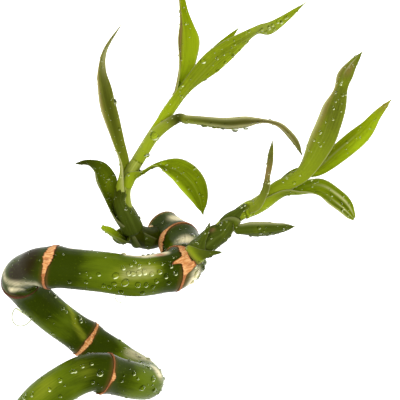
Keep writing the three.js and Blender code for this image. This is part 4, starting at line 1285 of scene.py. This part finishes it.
class BambooCane(bpy.types.PropertyGroup):
    """Sizes and colours of the cane."""

    swelling: length_setting("Node swelling", "How far a node stands out from the internodes", 0.0008)
    dent: length_setting("Ring dent", "How deep the skin dips under a dry ring", 0.0002)
    lumps: length_setting("Lumps", "Height of the slow unevenness of the skin", 0.0001)
    ribs: length_setting("Ribs", "Height of the fine ribs along the cane", 0.000015)
    step: length_setting("Row spacing", "Distance between the rows of the mesh", 0.0009)
    sides: IntProperty(
        name="Sides", description="Number of points about the cane", default=128, min=16, max=256)
    roughness: share_setting("Roughness", "How blurred the skin's reflections are", 0.22)
    gloss: FloatProperty(
        name="Gloss", description="Refractive index of the skin, which sets how much it reflects",
        default=1.09, min=1, max=2)
    dark: colour_setting("Dark green", "Colour of the darkest skin", (0.022, 0.034, 0.001))
    deep: colour_setting("Deep brown", "Colour of the darkest side of the bends", (0.016, 0.012, 0.003))
    green: colour_setting("Green", "Main colour of the skin", (0.076, 0.11, 0.003))
    # Yellow green is the colour of the painted soft highlights between the nodes
    yellow: colour_setting(
        "Yellow green", "Colour of the lightest skin between two nodes", (0.19, 0.215, 0.012))
    # The colour of the painted sheen, a pale reflection on the bends
    cream: colour_setting("Cream", "Colour of the pale sheen on the bends", (0.62, 0.55, 0.34))
    ring_edge: colour_setting("Ring edge", "Colour of the skin beside a dry ring", (0.09, 0.05, 0.012))
    bruise: colour_setting("Bruise", "Colour of a bruise", (0.35, 0.1, 0.05))
    cut_dark: colour_setting("Cut, dark", "Dark colour of the cut faces", (0.09, 0.035, 0.015))
    cut_pale: colour_setting("Cut, pale", "Pale colour of the cut faces", (0.42, 0.26, 0.12))


class BambooRings(bpy.types.PropertyGroup):
    """Colours of the dry rings."""

    tan: colour_setting("Tan", "Pale fibres", (0.66, 0.37, 0.15))
    orange: colour_setting("Orange", "Strong fibres", (0.43, 0.15, 0.035))
    brown: colour_setting("Brown", "Stains and narrow stretches", (0.30, 0.10, 0.03))
    edge: colour_setting("Edge", "Thin edge of a ring", (0.13, 0.03, 0.01))
    # Colour of the darker ring under the left bend
    aged: colour_setting("Aged", "The dark ring under the left bend", (0.075, 0.022, 0.014))


class BambooShoots(bpy.types.PropertyGroup):
    """Sizes and colours of the stems and leaves."""

    thickness: length_setting("Leaf thickness", "Thickness of a leaf at its midrib", 0.00034)
    wave: length_setting("Margin wave", "Height of the waves of a leaf's margins", 0.00025)
    stem_skins: length_setting("Stem skins", "Thickness of the leaf bases round a stem", 0.0001)
    roughness: share_setting("Roughness", "How blurred a leaf's reflections are", 0.32)
    see_through: share_setting("See through", "Share of the light that passes through a leaf", 0.35)
    stem: colour_setting("Stem", "Colour of the stems", (0.27, 0.31, 0.04))
    stem_green: colour_setting(
        "Stem bands", "Colour of the greener bands along the stems", (0.20, 0.24, 0.02))
    stem_pale: colour_setting("Pale streaks", "Colour of the pale streaks and ribs", (0.43, 0.45, 0.13))
    bright: colour_setting("Bright leaf", "Upper face of the youngest leaves", (0.27, 0.33, 0.003))
    bright_glow: colour_setting(
        "Bright leaf, lit through", "Light through the youngest leaves", (0.42, 0.52, 0.005))
    green: colour_setting("Green leaf", "Upper face of the green leaves", (0.17, 0.22, 0.003))
    green_glow: colour_setting(
        "Green leaf, lit through", "Light through the green leaves", (0.32, 0.42, 0.004))
    olive: colour_setting("Olive leaf", "Upper face of the olive leaves", (0.15, 0.165, 0.02))
    olive_glow: colour_setting(
        "Olive leaf, lit through", "Light through the olive leaves", (0.34, 0.36, 0.03))
    dark_leaf: colour_setting(
        "Dark leaf", "Upper face of the dark leaves and bracts", (0.078, 0.112, 0.002))
    dark_glow: colour_setting(
        "Dark leaf, lit through", "Light through the dark leaves", (0.20, 0.24, 0.003))
    yellow: colour_setting("Yellow patch", "Colour of the yellow-green patches", (0.40, 0.51, 0.012))
    brown: colour_setting("Brown patch", "Colour of the dry patches", (0.30, 0.19, 0.065))
    pale: colour_setting("Pale patch", "Colour of the pale margins and patches", (0.58, 0.56, 0.28))
    # The dark colour is painted shade on the leaves; it also darkens the stem bases and the leaves'
    # streaks
    dark: colour_setting(
        "Dark patch", "Colour of the dark patches and stem bases", (0.03, 0.038, 0.001))


class BambooWater(bpy.types.PropertyGroup):
    """Number and size of the water drops."""

    on_cane: IntProperty(
        name="Drops on the cane", description="Number of drops on the cane", default=430)
    on_leaf: IntProperty(
        name="Drops on a leaf", description="Number of drops on a long leaf", default=70)
    smallest: length_setting("Smallest drop", "Radius of the smallest drops", 0.00032)
    largest: length_setting("Largest drop", "Radius of the largest drawn drops", 0.0011)
    plumpness: FloatProperty(
        name="Plumpness", description="Height of a drop as a share of its radius", default=0.7)
    # The crescent colour is painted on as a highlight, the rim tint as shade
    crescent: colour_setting("Crescent", "Colour of the light gathered in a drop", (0.72, 0.78, 0.42))
    rim: colour_setting("Dark rim", "Tint of the dark side of a drop's rim", (0.14, 0.17, 0.04))


class BambooStage(bpy.types.PropertyGroup):
    """Camera, floor and light."""

    camera_height: length_setting("Camera height", "Height of the camera over the table", 0.4908)
    field_of_view: FloatProperty(
        name="Field of view", description="Angle that the picture takes in", default=0.35972,
        subtype="ANGLE")
    floor_glow: FloatProperty(
        name="Floor glow", description="Brightness of the light table under the plant", default=0.75)
    horizon: FloatProperty(
        name="Horizon light", description="Brightness of the room at eye level", default=0.3)
    overhead: FloatProperty(
        name="Overhead light", description="Brightness of the room straight above", default=1.4)
    side_lamps: FloatProperty(
        name="Side lamps", description="Power of the two long soft lamps", default=6.0, unit="POWER")


# Operators

# The floor's half width and how far it lies under the table's height, and the lamps: size, how far
# off to either side, height and tilt
FLOOR_REACH = 3.0
FLOOR_DROP = 0.0001
LAMP_SIZE = (0.9, 0.25)
LAMP_REACH = 0.75
LAMP_HEIGHT = 0.45
LAMP_TILT = 1.05


def floor_material(settings):
    """Plain white table that glows softly from within, like a light table."""
    nodes = new_material("light_table")
    white = nodes.add("ShaderNodeBsdfDiffuse", {"Color": (0.9, 0.9, 0.89)})
    glow = {"Color": (1.0, 0.995, 0.98), "Strength": settings.floor_glow}
    lit = nodes.add("ShaderNodeEmission", glow)
    return nodes.finish(nodes.add("ShaderNodeAddShader", {0: white, 1: lit}))


def room_light(settings):
    """Soft room light that fades from the horizon to the ceiling."""
    nodes = Nodes(bpy.data.worlds.new("soft_room"))
    height = nodes.apart(nodes.add("ShaderNodeTexCoord", {}, "Generated"))[2]
    strength = nodes.add("ShaderNodeMapRange", {
        "Value": height, "From Min": 0.15, "From Max": 0.85,
        "To Min": settings.horizon, "To Max": settings.overhead,
    }, interpolation_type="SMOOTHSTEP")
    light = {"Color": (1.0, 0.995, 0.985), "Strength": strength}
    return nodes.finish(nodes.add("ShaderNodeBackground", light))


def place_on_stage(scene, name, data, location):
    """A lamp or the camera, at its place."""
    item = bpy.data.objects.new(name, data)
    item.location = location
    scene.collection.objects.link(item)
    return item


class BAMBOO_OT_stage(bpy.types.Operator):
    """Sets up the pale light table, the soft lamps, the room's light and the camera"""

    bl_idname = "bamboo.stage"
    bl_label = "Stage"

    def execute(self, context):
        scene = context.scene
        settings = scene.bamboo_stage
        x, y, _ = TO_ORIGIN * MM
        mesh = bpy.data.meshes.new("floor")
        corners = np.array([(-1, -1, 0), (1, -1, 0), (1, 1, 0), (-1, 1, 0)]) * FLOOR_REACH
        mesh.from_pydata(corners - FLOOR_DROP * UP, [], [(0, 1, 2, 3)])
        mesh.materials.append(floor_material(settings))
        floor = bpy.data.objects.new("floor", mesh)
        scene.collection.objects.link(floor)
        scene.world = room_light(settings)
        scene.world.cycles_visibility.glossy = False
        for name, side in (("lamp_left", -1), ("lamp_right", 1)):
            light = bpy.data.lights.new(name, "AREA")
            light.shape = "RECTANGLE"
            light.size, light.size_y = LAMP_SIZE
            light.energy = settings.side_lamps
            lamp = place_on_stage(scene, name, light, (x + side * LAMP_REACH, y, LAMP_HEIGHT))
            lamp.rotation_euler = (0, side * LAMP_TILT, 0)
            lamp.visible_glossy = False
        lens = bpy.data.cameras.new("camera")
        lens.angle = settings.field_of_view
        lens.clip_start = 0.01
        scene.camera = place_on_stage(scene, "camera", lens, (x, y, settings.camera_height))
        scene.view_settings.view_transform = "Standard"
        return {"FINISHED"}


class BAMBOO_OT_cane(bpy.types.Operator):
    """Grows the curly cane with its two cut ends"""

    bl_idname = "bamboo.cane"
    bl_label = "Cane"

    def execute(self, context):
        settings = context.scene.bamboo_cane
        piece = make_piece("cane_skin", *cane_skin(settings), cane_material(settings), "cane")
        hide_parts("cane")
        return {"FINISHED"}


class BAMBOO_OT_rings(bpy.types.Operator):
    """Wraps a dry papery ring round each node of the cane"""

    bl_idname = "bamboo.rings"
    bl_label = "Rings"

    def execute(self, context):
        settings = context.scene.bamboo_rings
        tan, orange, brown, edge, aged = (
            settings.tan, settings.orange, settings.brown, settings.edge, settings.aged,
        )
        papery = ring_material("dry_papery_ring", tan, orange, brown, edge)
        dark = ring_material("dark_ring_paper", brown, edge, aged, edge)
        for name in RINGS:
            material = dark if name == DARK_RING else papery
            piece = make_piece(
                f"{name}_paper", *ring_band(name), material, "ring", ring_of_rows=True)
            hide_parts(name)
        return {"FINISHED"}


class BAMBOO_OT_stems(bpy.types.Operator):
    """Grows the two stems of the shoots"""

    bl_idname = "bamboo.stems"
    bl_label = "Stems"

    def execute(self, context):
        settings = context.scene.bamboo_shoots
        material = stem_material(settings)
        for name in STEMS:
            piece = make_piece(f"{name}_skin", *stem_skin(name, settings), material, "stem")
            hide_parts(name)
        return {"FINISHED"}


class BAMBOO_OT_leaves(bpy.types.Operator):
    """Unfolds the leaves and bracts of both shoots"""

    bl_idname = "bamboo.leaves"
    bl_label = "Leaves"

    def execute(self, context):
        settings = context.scene.bamboo_shoots
        tints = {
            "bright": (settings.bright, settings.bright_glow),
            "green": (settings.green, settings.green_glow),
            "olive": (settings.olive, settings.olive_glow),
            "dark": (settings.dark_leaf, settings.dark_glow),
        }
        materials = {
            tint: leaf_material(tint, face, glow, settings) for tint, (face, glow) in tints.items()
        }
        for name, leaf in LEAVES.items():
            points, values, _ = leaf_shell(name, settings)
            material, slot = materials[leaf.tint], f"leaf_{leaf.tint}"
            piece = make_piece(f"{name}_blade", points, values, material, slot)
            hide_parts(name)
        return {"FINISHED"}


class BAMBOO_OT_buds(bpy.types.Operator):
    """Adds the small resting bud in its pale socket"""

    bl_idname = "bamboo.buds"
    bl_label = "Buds"

    def execute(self, context):
        cane = context.scene.bamboo_cane
        rings = context.scene.bamboo_rings
        x, y, bud, socket = np.array(BUDS).T
        seat = seen_at(*skin_of("cane"), x, y)
        pale = bud_material("bud_socket", rings.tan, cane.green)
        green = bud_material("bud_skin", cane.dark, cane.ring_edge)
        sockets = (*seat, socket, SOCKET_PLUMPNESS * socket)
        dome_piece("bud_sockets", sockets, BIG_DROP, pale, "ring", seed=61)
        dome_piece("buds", (*seat, bud, BUD_PLUMPNESS * bud), BIG_DROP, green, "cane", seed=61)
        return {"FINISHED"}


class BAMBOO_OT_water(bpy.types.Operator):
    """Sprinkles water drops over the cane and the leaves"""

    bl_idname = "bamboo.water"
    bl_label = "Water drops"

    def execute(self, context):
        settings = context.scene.bamboo_water
        clear = water_material("clear_water", settings, WATER_BENDS, 1.0, OUTLINE)
        thin = water_material("thin_water", settings, THIN_WATER_BENDS, 0.0, THIN_OUTLINE)
        dome_piece("water_on_cane", drops_on_cane(settings), SMALL_DROP, clear, "water", seed=11)
        draw = np.random.default_rng(seed=23)
        for shoot in ("left", "right"):
            drops = []
            for name, leaf in LEAVES.items():
                if name.startswith(shoot):
                    shell = leaf_shell(name, context.scene.bamboo_shoots)[2]
                    count = int(settings.on_leaf * len(leaf.blade) / LONG_LEAF_STATIONS)
                    drops.append(drops_on_leaf(shell, count, draw, settings))
            dome_piece(f"water_on_{shoot}_shoot", joined(drops), SMALL_DROP, clear, "water", seed=31)
        drops = []
        for name, sights in BIG_DROPS.items():
            x, y, radii = np.array(sights).T
            drops.append((*seen_at(*skin_of(name), x, y), radii, settings.plumpness * radii))
        drops.append(hanging(HANGING_DROPS))
        dome_piece("big_drops", joined(drops), BIG_DROP, clear, "water", seed=47)
        dome_piece("thin_drops", hanging(THIN_DROPS), LARGE_DROP, thin, "water", seed=48)
        return {"FINISHED"}


class BAMBOO_PT_panel(bpy.types.Panel):
    """Lists the steps that build the plant, and their settings"""

    bl_idname = "BAMBOO_PT_panel"
    bl_label = "Lucky bamboo"
    bl_space_type = "VIEW_3D"
    bl_region_type = "UI"
    bl_category = "Bamboo"

    def draw(self, context):
        for operator, group in STEPS:
            box = self.layout.box()
            box.operator(operator.bl_idname)
            for key in GROUPS[group].__annotations__:
                box.prop(getattr(context.scene, group), key)


GROUPS = {
    "bamboo_cane": BambooCane,
    "bamboo_rings": BambooRings,
    "bamboo_shoots": BambooShoots,
    "bamboo_water": BambooWater,
    "bamboo_stage": BambooStage,
}
STEPS = [
    (BAMBOO_OT_stage, "bamboo_stage"),
    (BAMBOO_OT_cane, "bamboo_cane"),
    (BAMBOO_OT_rings, "bamboo_rings"),
    (BAMBOO_OT_stems, "bamboo_shoots"),
    (BAMBOO_OT_leaves, "bamboo_shoots"),
    (BAMBOO_OT_buds, "bamboo_cane"),
    (BAMBOO_OT_water, "bamboo_water"),
]
CLASSES = [*GROUPS.values(), *(operator for operator, _ in STEPS), BAMBOO_PT_panel]


def register():
    for each in CLASSES:
        bpy.utils.register_class(each)
    for name, group in GROUPS.items():
        setattr(bpy.types.Scene, name, PointerProperty(type=group))


def unregister():
    for name in GROUPS:
        delattr(bpy.types.Scene, name)
    for each in reversed(CLASSES):
        bpy.utils.unregister_class(each)


def main():
    register()
    bpy.ops.bamboo.stage()
    bpy.ops.bamboo.cane()
    bpy.ops.bamboo.rings()
    bpy.ops.bamboo.stems()
    bpy.ops.bamboo.leaves()
    bpy.ops.bamboo.buds()
    bpy.ops.bamboo.water()


if __name__ == "__main__":
    main()
